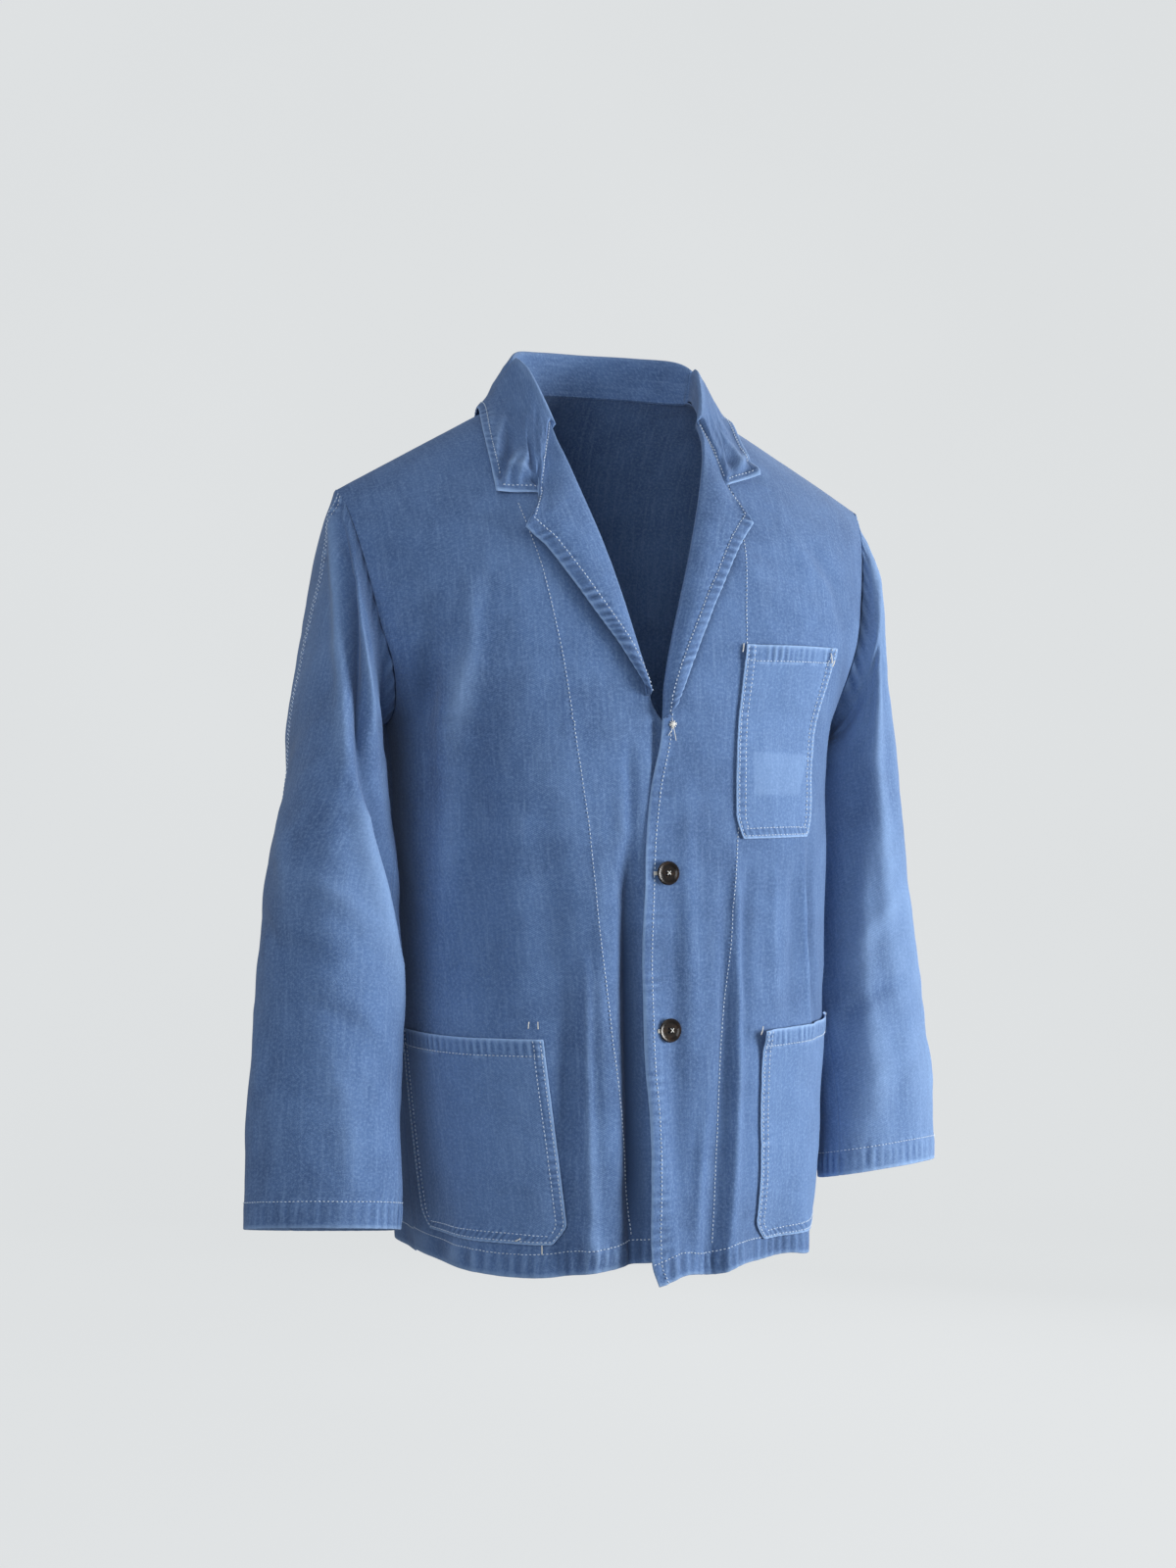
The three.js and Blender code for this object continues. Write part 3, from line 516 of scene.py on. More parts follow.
def set_uv(mesh, uv):
    """Gives a mesh its cloth map, from one place for each point."""
    loops = np.empty(len(mesh.loops), dtype=np.int32)
    mesh.loops.foreach_get("vertex_index", loops)
    layer = mesh.uv_layers.new(name="cloth")
    layer.data.foreach_set("uv", uv[loops].astype(np.float32).ravel())


def cloth_mesh(name, p, thick, outward, wear_and_painted_light, uv=None):
    """A closed shell of cloth: the grid p is its outer face, the inner one lies a thickness in, and a
    middle row pushed out along the rim rounds the edge."""
    k = np.arange(wear_and_painted_light.size).reshape(wear_and_painted_light.shape)
    rim = np.concatenate([k[0, :-1], k[:-1, -1], k[-1, :0:-1], k[:0:-1, 0]])
    flat_p, flat_n = p.reshape(-1, 3), out_of(p, outward).reshape(-1, 3)
    points = np.concatenate([flat_p, flat_p - flat_n * thick, rim_points(flat_p, flat_n, thick, rim)])
    faces = shell_faces(k, rim)
    normal_sign = (np.cross(np.gradient(p, axis=1), np.gradient(p, axis=0)) * outward).sum(-1).mean()
    if normal_sign < 0:
        faces = faces[:, ::-1]
    thing = mesh_object(name, points * MM, faces.tolist())
    if uv is None:
        uv = np.stack([arc(p, 1), arc(p, 0)], -1)
    flat_uv = uv.reshape(-1, 2) * MM
    set_uv(thing.data, np.concatenate([flat_uv, flat_uv, flat_uv[rim]]))
    flat_w = np.clip(wear_and_painted_light, -1, 1).reshape(-1)
    # Per-point value: above zero paler, from wear and painted light on the far sleeve; below zero darker,
    # from kept dye and painted shade
    worn = thing.data.attributes.new("wear_and_painted_light", "FLOAT", "POINT")
    worn_values = np.concatenate([flat_w, flat_w * INNER_WEAR_AND_PAINTED_LIGHT, flat_w[rim]])
    worn.data.foreach_set("value", worn_values.astype(np.float32))
    return thing


def stand_in(thing, nodes, material):
    """Gives a piece its body, the nodes that it stands for and its material."""
    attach(thing, "root")
    if nodes:
        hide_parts(*nodes)
    thing.data.materials.append(material)
    return thing


class Nodes:
    """Short calls for building one material's node tree."""

    def __init__(self, name):
        """Starts an empty material with a Principled shader on its output."""
        self.material = bpy.data.materials.new(name)
        self.material.use_nodes = True
        self.tree = self.material.node_tree
        self.shader = self.tree.nodes["Principled BSDF"]

    def node(self, kind, **values):
        """Adds a node and sets its properties, or its inputs where the name is one."""
        made = self.tree.nodes.new(kind)
        for key, value in values.items():
            if hasattr(made, key):
                setattr(made, key, value)
            else:
                made.inputs[key.replace("_", " ")].default_value = value
        return made

    def set(self, **values):
        """Sets numbers and colours on the shader's own sockets."""
        for key, value in values.items():
            self.shader.inputs[key.replace("_", " ")].default_value = value

    def link(self, start, end):
        """Joins an output to an input."""
        self.tree.links.new(start, end)

    def math(self, operation, a, b):
        """A math node of two sources, each an output or a number."""
        made = self.node("ShaderNodeMath", operation=operation)
        for socket, source in zip(made.inputs, (a, b)):
            if isinstance(source, (int, float)):
                socket.default_value = source
            else:
                self.link(source, socket)
        return made.outputs[0]

    def blend(self, factor, a, b, mode="MIX"):
        """A colour mix of two sources, each an output or a colour."""
        made = self.node("ShaderNodeMix", data_type="RGBA", blend_type=mode)
        for socket, source in zip((made.inputs[0], made.inputs[6], made.inputs[7]), (factor, a, b)):
            if isinstance(source, (int, float, tuple)):
                socket.default_value = source
            else:
                self.link(source, socket)
        return made.outputs[2]

    def noise(self, vector, scale, detail=3.0, rough=0.55):
        """Noise on a vector, as an output from 0 to 1."""
        made = self.node("ShaderNodeTexNoise", Scale=scale, Detail=detail, Roughness=rough)
        self.link(vector, made.inputs["Vector"])
        return made.outputs[0]

    def ramp(self, factor, low, high):
        """A share from 0 at low to 1 at high."""
        made = self.node("ShaderNodeMapRange", interpolation_type="SMOOTHSTEP", From_Min=low, From_Max=high)
        self.link(factor, made.inputs["Value"])
        return made.outputs[0]


def tint(rgb):
    """A colour with full alpha."""
    return (*rgb, 1.0)


def cotton(name, colours, pale_shift=0.0):
    """Washed cotton twill: cloudy fading, pale worn edges, a fine diagonal rib and fibre fuzz, with painted
    light and painted shade from the per-point wear value.
    """
    t = Nodes(name)
    place = t.node("ShaderNodeTexCoord").outputs["Object"]
    cloth = t.node("ShaderNodeUVMap", uv_map="cloth").outputs[0]
    wear_and_painted_light = t.node("ShaderNodeAttribute", attribute_name="wear_and_painted_light").outputs["Fac"]
    cloudy = t.ramp(t.noise(place, 7.0, 4.0, 0.6), 0.3 - pale_shift, 0.72 - pale_shift)
    mottled = t.ramp(t.noise(place, 42.0, 5.0, 0.62), 0.32, 0.72)
    colour = t.blend(cloudy, tint(colours.deep), tint(colours.mid))
    colour = t.blend(t.math("MULTIPLY", mottled, 0.38), colour, tint(colours.faded))
    grain = t.ramp(t.noise(cloth, 430.0, 4.0, 0.75), 0.42, 0.68)
    colour = t.blend(t.math("MULTIPLY", grain, 0.32), colour, tint(colours.pale))
    warp = t.node("ShaderNodeMapping", vector_type="POINT")
    warp.inputs["Scale"].default_value = (1, 0.07, 1)
    t.link(cloth, warp.inputs["Vector"])
    streaks = t.ramp(t.noise(warp.outputs[0], 300.0, 4.0, 0.65), 0.46, 0.7)
    colour = t.blend(t.math("MULTIPLY", streaks, 0.17), colour, tint(colours.pale))
    dark = t.ramp(t.noise(cloth, 520.0, 3.0, 0.7), 0.52, 0.75)
    colour = t.blend(t.math("MULTIPLY", dark, 0.6), colour, tint(colours.deep))
    uneven = t.math("ADD", 0.55, t.noise(cloth, 260.0, 4.0, 0.7))
    # Paler above zero: worn edges, crests and puckers, and painted light on the far sleeve
    rubbed_and_lit = t.math("MULTIPLY", t.math("MAXIMUM", wear_and_painted_light, 0.0), uneven)
    colour = t.blend(rubbed_and_lit, colour, tint(colours.pale))
    # Darker below zero: kept dye in seams, and painted shade in troughs, beside the lapel's edge and beside
    # the armholes
    kept = t.math("MAXIMUM", t.math("MULTIPLY", wear_and_painted_light, -1.0), 0.0)
    colour = t.blend(kept, colour, tint(tuple(0.62 * c for c in colours.deep)))
    t.link(colour, t.shader.inputs["Base Color"])
    t.set(Roughness=0.92, Specular_IOR_Level=0.18, Sheen_Weight=0.22, Sheen_Roughness=0.55)
    t.set(Sheen_Tint=tint((0.62, 0.74, 0.95)))
    turn = t.node("ShaderNodeMapping", vector_type="POINT")
    turn.inputs["Rotation"].default_value = (0, 0, math.radians(62))
    t.link(cloth, turn.inputs["Vector"])
    rib = t.node("ShaderNodeTexWave", wave_type="BANDS", bands_direction="X", Scale=230.0, Distortion=1.2)
    t.link(turn.outputs[0], rib.inputs["Vector"])
    fuzz = t.noise(cloth, 1500.0, 2.0, 0.7)
    crumple = t.noise(place, 95.0, 4.0, 0.6)
    height = t.math("ADD", t.math("MULTIPLY", rib.outputs["Fac"], 0.10), t.math("MULTIPLY", fuzz, 0.12))
    height = t.math("ADD", height, t.math("MULTIPLY", crumple, 1.1))
    bump = t.node("ShaderNodeBump", Strength=0.55, Distance=0.0011)
    t.link(height, bump.inputs["Height"])
    t.link(bump.outputs[0], t.shader.inputs["Normal"])
    return t.material


def thread(name, colour):
    """Pale cotton sewing thread, a little uneven."""
    t = Nodes(name)
    place = t.node("ShaderNodeTexCoord").outputs["Object"]
    shade = t.blend(t.noise(place, 160.0), tint(tuple(0.62 * c for c in colour)), tint(colour))
    t.link(shade, t.shader.inputs["Base Color"])
    t.set(Roughness=0.85)
    return t.material


def horn(name, colours):
    """Dark glossy button stuff with faint brown clouds."""
    t = Nodes(name)
    place = t.node("ShaderNodeTexCoord").outputs["Object"]
    clouds = t.ramp(t.noise(place, 180.0, 3.0), 0.4, 0.75)
    colour = t.blend(clouds, tint(colours.button), tint(colours.button_cloud))
    t.link(colour, t.shader.inputs["Base Color"])
    t.set(Roughness=0.22)
    bump = t.node("ShaderNodeBump", Strength=0.15, Distance=0.0004)
    t.link(t.noise(place, 420.0, 3.0), bump.inputs["Height"])
    t.link(bump.outputs[0], t.shader.inputs["Normal"])
    return t.material


def colour_property(name, description, default):
    """A colour that the user can change."""
    return bpy.props.FloatVectorProperty(
        name=name, description=description, default=default, size=3, min=0, max=1, subtype="COLOR")


class JacketColours(bpy.types.PropertyGroup):
    """Colours of the jacket's finishes."""

    deep: colour_property("Deep", "Cloth where it kept most dye", (0.050, 0.100, 0.228))
    mid: colour_property("Mid", "Most of the cloth", (0.072, 0.142, 0.308))
    faded: colour_property("Faded", "Cloth faded by washing", (0.108, 0.200, 0.405))
    pale: colour_property("Pale", "Rubbed edges and fibre tips", (0.250, 0.390, 0.640))
    thread: colour_property("Thread", "Sewing thread", (0.60, 0.72, 0.88))
    white: colour_property(
        "White thread", "Thread of the buttonholes and the lost button", (0.80, 0.80, 0.76))
    button: colour_property("Button", "Buttons", (0.010, 0.008, 0.007))
    button_cloud: colour_property("Button clouds", "Browner clouds in the buttons", (0.035, 0.020, 0.012))


class JacketSizes(bpy.types.PropertyGroup):
    """Sizes of the jacket's cloth and stitches."""

    cloth: bpy.props.FloatProperty(
        name="Cloth", description="Thickness of one layer of cloth", default=0.0012, min=0.0005, max=0.003,
        subtype="DISTANCE", unit="LENGTH")
    stitch: bpy.props.FloatProperty(
        name="Stitch", description="Length of one stitch with its gap", default=0.0033, min=0.002, max=0.006,
        subtype="DISTANCE", unit="LENGTH")
    yarn: bpy.props.FloatProperty(
        name="Thread", description="Diameter of the sewing thread", default=0.0009, min=0.0003, max=0.001,
        subtype="DISTANCE", unit="LENGTH")
    camera_turn: bpy.props.FloatProperty(
        name="Camera turn", description="How far round to the wearer's right the camera stands",
        default=math.radians(-22), subtype="ANGLE", unit="ROTATION")


MATERIALS = {}


def material(key):
    """One of the jacket's materials, made at its first use."""
    colours = bpy.context.scene.jacket_colours
    makers = {
        "cloth": lambda: cotton("washed_cotton", colours),
        "pocket": lambda: cotton("washed_cotton_pocket", colours, 0.14),
        "thread": lambda: thread("pale_thread", tuple(colours.thread)),
        "white": lambda: thread("white_thread", tuple(colours.white)),
        "button": lambda: horn("dark_button", colours),
    }
    if key not in MATERIALS:
        MATERIALS[key] = makers[key]()
    return MATERIALS[key]


def cloth_thickness():
    """Thickness of one layer of cloth in millimetres."""
    return bpy.context.scene.jacket_sizes.cloth / MM


# Surfaces of the finished pieces, kept for the stitches that lie on them
SURFACES = {}


def keep_surface(name, p, outward):
    """Keeps a finished piece's outer grid and its normals for what is sewn on it."""
    SURFACES[name] = (p, out_of(p, outward))


def sample(name, u, w):
    """Points and normals of a kept surface at parameters u and w, blended from the four grid points."""
    p, n = SURFACES[name]
    rows, columns = p.shape[:2]
    a = np.clip(u, 0, 1) * (columns - 1)
    b = np.clip(w, 0, 1) * (rows - 1)
    i = np.minimum(a.astype(int), columns - 2)
    j = np.minimum(b.astype(int), rows - 2)
    fa, fb = (a - i)[..., None], (b - j)[..., None]
    mix = lambda g: lerp(lerp(g[j, i], g[j, i + 1], fa), lerp(g[j + 1, i], g[j + 1, i + 1], fa), fb)
    return mix(p), unit(mix(n))


def make_piece(node, p, outward, wear_and_painted_light, layers=1.0, uv=None, kind="cloth"):
    """One cloth piece from its outer grid: kept for its stitches, closed, and put in its node's place."""
    keep_surface(node, p, outward)
    thing = cloth_mesh(f"{node}_cloth", p, cloth_thickness() * layers, outward, wear_and_painted_light, uv)
    return stand_in(thing, [node], material(kind))


def front_params(side, u, w):
    """Place across and level of a front's parameters, from its side seam to its inner edge."""
    v = level_of_row(w)
    inner = across_at(edge_x(side, v), v)
    return lerp(side * armhole_at(v), inner, u), v


def front_uw(side, x, z):
    """A front's parameters at a point across and a height."""
    v = level_at(x, z)
    s = across_at(x, v)
    outer, inner = side * armhole_at(v), across_at(edge_x(side, v), v)
    return (s - outer) / (inner - outer), row_of_level(v)


HEM_DEEP = 18.0
HEM_GATHER = 9.0
EDGE_STITCH_IN = 8.0
# Painted shadow: how much darker a front is painted beside its lapel's edge
LAPEL_SHADE = 0.5
# Painted shade: how much darker the fronts are painted beside the armholes
ARM_SHADE = 0.4
# A shift of each front's colour: the left front is set darker than the right
FRONT_TONE = {RIGHT: 0.0, LEFT: -0.14}

# How much paler a millimetre of ridge is made by wear, and as much darker a trough is painted as shade
RIDGE_WEAR_AND_TROUGH_SHADE = 0.055


def body_hem(up, along, seed):
    """A body panel's hem: its gathers, and its relief from them, its stitch line and its double cloth."""
    hem_line = up - HEM_DEEP
    gathers = pucker(along, hem_line + 8, HEM_GATHER, 10, seed)
    height = 1.2 * gathers + 0.35 * groove(hem_line, 1.3)
    return gathers, height + 0.55 * ease((HEM_DEEP + 1 - up) / 2)


def front_points(side, columns, rows):
    """A front: the body's surface with its relief, puckered at the hem and the free edge.

    Its cloth map runs out from the jacket's middle and up from the hem, so the warp hangs straight."""
    u, w = grid(columns, rows)
    s, v = front_params(side, u, w)
    base = on_front(side, s, v)
    up, across = arc(base, 0), arc_from_end(base, 1)
    along = base[..., 0] * 1.15
    gathers, height = body_hem(up, along, 41 + side)
    low = ease((0.05 - v) / 0.08)
    edge_line = across - EDGE_STITCH_IN
    height += low * (0.35 * pucker(up, edge_line, 8.5, 6, 51 + side) + 0.35 * groove(edge_line, 1.3))
    height += low * 0.6 * ease((EDGE_STITCH_IN + 1 - across) / 2)
    p = base + out_of(base, np.array([0, -1.0, 0])) * height[..., None]
    rise = RIGHT_HEM_RISE if side == RIGHT else LEFT_HEM_RISE
    p[..., 2] += rise * u**4 * ease((-v - 0.8) / 0.2)
    p[..., 2] += 3.2 * soft_noise(along + 500, along * 0, 30, 61) * ease((-v - 0.9) / 0.1)
    wear_and_painted_light = 0.7 * np.exp(-up / 1.2) + low * 0.7 * np.exp(-across / 1.1)
    # Ridges paler from wear; troughs painted darker as shade, among them the painted shadow on the right
    # front beside the left front's edge
    wear_and_painted_light = wear_and_painted_light + RIDGE_WEAR_AND_TROUGH_SHADE * front_relief(side, base, v)
    # Pucker crests paler, valleys darker: partly wear and kept dye, partly painted shade
    wear_and_painted_light += 0.4 * gathers
    wear_and_painted_light += low * 0.4 * pucker(up, edge_line * 0.7, 8.5, 6, 51 + side)
    # The left front's colour is set darker; both fronts get a painted shadow beside the lapel's edge
    wear_and_painted_light += FRONT_TONE[side] - LAPEL_SHADE * lapel_shadow_share(side, base)
    # Painted shade on the fronts beside the armholes, below the shoulders
    wear_and_painted_light -= ARM_SHADE * np.exp(-(((side * base[..., 0] - 186) / 12) ** 2)) * ease((0.35 - v) / 0.2)
    return p, wear_and_painted_light, np.stack([side * (edge_x(side, v) - MID_X) + across, up], -1)


def lapel_shadow_share(side, p):
    """Share of the painted shadow that a front gets beside its lapel: a bell off the lapel's edge."""
    edges = LAPELS[side]
    off = side * (p[..., 0] - np.interp(p[..., 2], edges["z"][:5], edges["x"][:5]))
    inside = ease((p[..., 2] + 275) / 12) * (1 - ease((p[..., 2] + 142) / 10))
    return inside * np.exp(-((off / 5.0) ** 2))


def make_front(side):
    """Builds one front panel."""
    p, wear_and_painted_light, cloth = front_points(side, *FRONT_GRID)
    outward = np.array([0.3 * side, -1.0, 0.1])
    thing = make_piece(f"{WORD[side]}_front", p, outward, wear_and_painted_light, uv=cloth)


def back_points(columns, rows):
    """The back: the body's other face from side seam to side seam, dipped at the neck."""
    u, w = grid(columns, rows)
    v = level_of_row(w)
    reach = armhole_at(v)
    s = lerp(-reach, reach, u)
    x = body(s, v, BACK)[..., 0]
    off = np.clip(np.abs(x - MID_X) / NECK_HALF, 0, 1)
    top = np.where(off < 1, level_at(x, lerp(NAPE_Z, ridge_z(MID_X + NECK_HALF), off * off)), 1.0)
    v = np.where(v > 0, v * lerp(1, top, np.clip(v, 0, 1) ** 3), v)
    base = body(s, v, BACK)
    rise = back_relief(base, v) + hem_flare(s, base[..., 0] + 900, v)
    base = base + body_out(s, v, BACK) * rise[..., None]
    up = arc(base, 0)
    gathers, height = body_hem(up, base[..., 0] * 1.15, 71)
    p = base + out_of(base, np.array([0, 1.0, 0])) * height[..., None]
    # Hem edge paler from wear; hem puckers and creases: crests paler, valleys and troughs darker, partly kept
    # dye and partly painted shade
    wear_and_painted_light = 0.7 * np.exp(-up / 1.2) + 0.4 * gathers + RIDGE_WEAR_AND_TROUGH_SHADE * rise
    across = arc(base, 1)
    middle = 0.5 * (across[:, columns // 2] + across[:, (columns - 1) // 2])
    return p, wear_and_painted_light, np.stack([across - middle[:, None], up], -1)


def make_back():
    """Builds the back panel."""
    p, wear_and_painted_light, cloth = back_points(*BACK_GRID)
    thing = make_piece("back", p, np.array([0, 1.0, 0.1]), wear_and_painted_light, uv=cloth)


def sleeve_ring(rows, side, at, angle):
    """A sleeve ring: an ellipse with its two half widths, tilted, turned and pitched by the table."""
    value = lambda column: read(rows, "at", at, column)
    tilt, turn, pitch = (np.radians(value(c)) for c in ("tilt", "turn", "pitch"))
    sin, cos = np.sin(turn), np.cos(turn)
    outward = np.stack([side * cos * np.cos(tilt), sin * np.cos(tilt), np.sin(tilt)], -1)
    forward = np.stack([side * sin * np.cos(pitch), -cos * np.cos(pitch), np.sin(pitch)], -1)
    centre = np.stack([value("x"), value("y"), value("z")], -1)
    return (centre + outward * (value("across") * np.cos(angle))[..., None]
            + forward * (value("deep") * np.sin(angle))[..., None])


def armhole_ring(side, angle):
    """The armhole's edge: front level for angles to the front, back level for the others."""
    v = np.clip(0.5 * (1 + np.cos(angle)), 0, 1)
    s = side * armhole_at(v)
    ahead = (np.sin(angle) >= 0)[..., None]
    return np.where(ahead, body(s, v, FRONT), body(s, v, BACK))


def sleeve_surface(side, along, angle):
    """A sleeve: from the armhole's edge to the first ring of its table, then through the rings."""
    rows = SLEEVES[side]
    first = rows["at"][0]
    ring = sleeve_ring(rows, side, np.maximum(along, first), angle)
    low = (0.5 * (1 - np.cos(angle))) ** 3
    start = armhole_ring(side, angle)
    start[..., 0] += side * lerp(ARMHOLE_OUT, ARMPIT_OUT, low)
    t = np.clip(along / first, 0, 1)
    swell = 2 * t * (1 - t)
    near = lerp(start, ring, t[..., None])
    near[..., 2] += 3 * np.cos(angle) * swell
    return np.where((along >= first)[..., None], ring, near)


# Creases of the sleeves: degrees round from the outer side to the front, and shares of the length
SLEEVE_CREASES = {
    RIGHT: creases(
        (2, 6, 86, 262, 4, 11, 8.0), (70, 200, 178, 455, 8, 12, 7.5), (30, 24, 116, 290, -2, 12, -13.0),
        (100, 230, 178, 400, 6, 12, -8.0), (54, 40, 114, 200, -4, 7, 5.0), (-10, 280, 70, 380, 14, 10, 2.6),
        (10, 360, 110, 400, -10, 9, -2.4), (60, 330, 150, 400, 8, 9, 2.4), (0, 430, 60, 570, 10, 13, 2.0),
        (70, 430, 150, 490, 8, 10, -2.2), (40, 470, 34, 610, 6, 14, -2.0), (100, 470, 112, 610, 6, 12, 2.0),
        (-60, 60, -50, 300, 14, 16, 4.0), (-100, 100, -80, 420, 10, 16, -3.4),
        (-30, 200, -60, 560, 10, 14, 2.0),
        (190, 50, 186, 260, 6, 9, -3.0), (220, 60, 210, 300, 8, 12, 3.4), (230, 300, 260, 500, 8, 14, 2.4),
    ),
    LEFT: creases(
        (20, 8, 66, 240, 8, 16, 2.6), (108, 120, 122, 420, 8, 14, -2.0), (112, 300, 128, 580, 6, 10, 3.0),
        (84, 60, 96, 480, 8, 10, 3.2), (60, 30, 74, 330, 8, 12, -2.0), (70, 360, 150, 440, 10, 10, 2.4),
        (80, 440, 160, 480, 8, 9, -2.4), (100, 460, 96, 610, 5, 12, -2.2), (146, 300, 160, 470, 6, 10, -2.8),
        (-50, 60, -40, 300, 12, 16, 3.8), (-100, 100, -84, 420, 10, 16, -3.2), (150, 60, 150, 220, 8, 9, 2.8),
        (200, 50, 190, 260, 6, 9, -2.8), (230, 80, 214, 320, 8, 12, 3.0), (40, 430, 50, 600, 8, 12, 2.0),
    ),
}
SLEEVE_LENGTH = 610.0
HEAD_SWELL = {RIGHT: 2.0, LEFT: 5.0}
CUFF_DEEP = 20.0
# Painted light: how much paler each sleeve is painted; the far (left) sleeve faces the window
SLEEVE_PAINTED_LIGHT = {RIGHT: 0.0, LEFT: 0.25}


def sleeve_relief(side, degrees, along):
    """Relief of a sleeve in millimetres: its creases and an even crumple all round."""
    down = along * SLEEVE_LENGTH
    out = np.zeros(np.broadcast(degrees, along).shape)
    for turn in (-360, 0, 360):
        out = out + crease(degrees + turn, down, SLEEVE_CREASES[side])
    wrap = np.radians(degrees)
    a, b = 60 * np.cos(wrap) + 400, 60 * np.sin(wrap) + down
    out = out + 1.6 * soft_noise(a, b, 48, 81 + side) + 0.6 * soft_noise(a, b, 20, 84 + side)
    out = out + 0.16 * soft_noise(a, b, 8, 87 + side)
    head = np.exp(-(((along - 0.1) / 0.07) ** 2)) * np.clip(np.cos(wrap), 0, 1)
    return (out + HEAD_SWELL[side] * head) * ease(along / 0.05)


def sleeve_points(side, upper, columns, rows):
    """A sleeve piece between its hind and fore seams, puckered at the cuff's hem."""
    u, w = grid(columns, rows)
    w = w[::-1]
    hind, fore = lerp(*HIND_SEAM, w), lerp(*FORE_SEAM, w)
    degrees = lerp(hind + 0.2, fore - 0.2, u) if upper else lerp(fore + 0.2, hind + 359.8, u)
    base = sleeve_surface(side, w, np.radians(degrees))
    centre = base.mean(1, keepdims=True)
    n = out_of(base, base - centre)
    turned = np.where(degrees > 180, degrees - 360, degrees)
    relief = sleeve_relief(side, turned, w)
    base = base + n * relief[..., None]
    up = arc(base, 0)
    hem_line = up - CUFF_DEEP
    along = degrees
    gathers = pucker(along, hem_line + 9, HEM_GATHER, 11, 91 + side)
    height = 0.9 * gathers + 0.35 * groove(hem_line, 1.3)
    height += 0.5 * ease((CUFF_DEEP + 1 - up) / 2)
    across = arc(base, 1)
    if upper:
        height += 0.30 * pucker(up, across - 4, 9, 6, 95 + side) + 0.3 * groove(across - 6.5, 1.2)
        height += 0.45 * ease((7.5 - across) / 1.5)
    armhole = up[-1:] - up
    height += 0.5 * pucker(along, armhole, 11, 14, 97 + side)
    p = base + n * height[..., None]
    # Cuff edge paler from wear; puckers and creases: crests paler, valleys and troughs darker, partly kept
    # dye and partly painted shade
    wear_and_painted_light = 0.7 * np.exp(-up / 1.2) + 0.35 * gathers + RIDGE_WEAR_AND_TROUGH_SHADE * relief
    # Painted light on the far sleeve
    wear_and_painted_light += SLEEVE_PAINTED_LIGHT[side]
    if upper:
        wear_and_painted_light += 0.4 * np.exp(-across / 1.2) + 0.35 * pucker(up, (across - 4) * 0.7, 9, 6, 95 + side)
    wear_and_painted_light += 0.3 * pucker(along, armhole, 11, 14, 97 + side)
    return p, wear_and_painted_light


def make_sleeve(side, upper):
    """Builds the top or under piece of one sleeve."""
    kind = "top" if upper else "under"
    p, wear_and_painted_light = sleeve_points(side, upper, *(TOP_SLEEVE_GRID if upper else UNDER_SLEEVE_GRID))
    outward = p - sleeve_centres(side, p.shape[0])[:, None, :]
    thing = make_piece(f"{WORD[side]}_{kind}_sleeve", p, outward, wear_and_painted_light)


def sleeve_centres(side, rows):
    """Middle points of the sleeve from its cuff up to its armhole, one for each row of a grid."""
    along = np.linspace(1, 0, rows)
    sets = [sleeve_surface(side, along, np.full(rows, math.radians(a))) for a in (0, 90, 180, 270)]
    return sum(sets) / 4


# The lapel's top edge is tucked this far under the collar; the roll is a half circle of this radius
LAPEL_TUCK = 12.0
ROLL_RADIUS = 2.3
ROLL_STEPS = 12
LAPEL_TIP_CURL = 5.0
LAPEL_STITCH_IN = 10.0
LAPEL_LAYERS = 1.3


def lapel_places(side, columns, rows):
    """Across and height of a lapel's points: from the roll line to the outer edge, level by level."""
    u, w = grid(columns, rows)
    edges = LAPELS[side]
    roll_z = read(edges, "at", w, "rollZ")
    x = edge_x(side, level_at(0.0, roll_z))
    x = edge_x(side, level_at(x, roll_z))
    px = lerp(x, np.interp(w, edges["at"], edges["x"]), u)
    pz = lerp(roll_z, np.interp(w, edges["at"], edges["z"]), u)
    under = LAPEL_TUCK * ease((w - 0.985) / 0.015)
    return u, w, px, pz + under


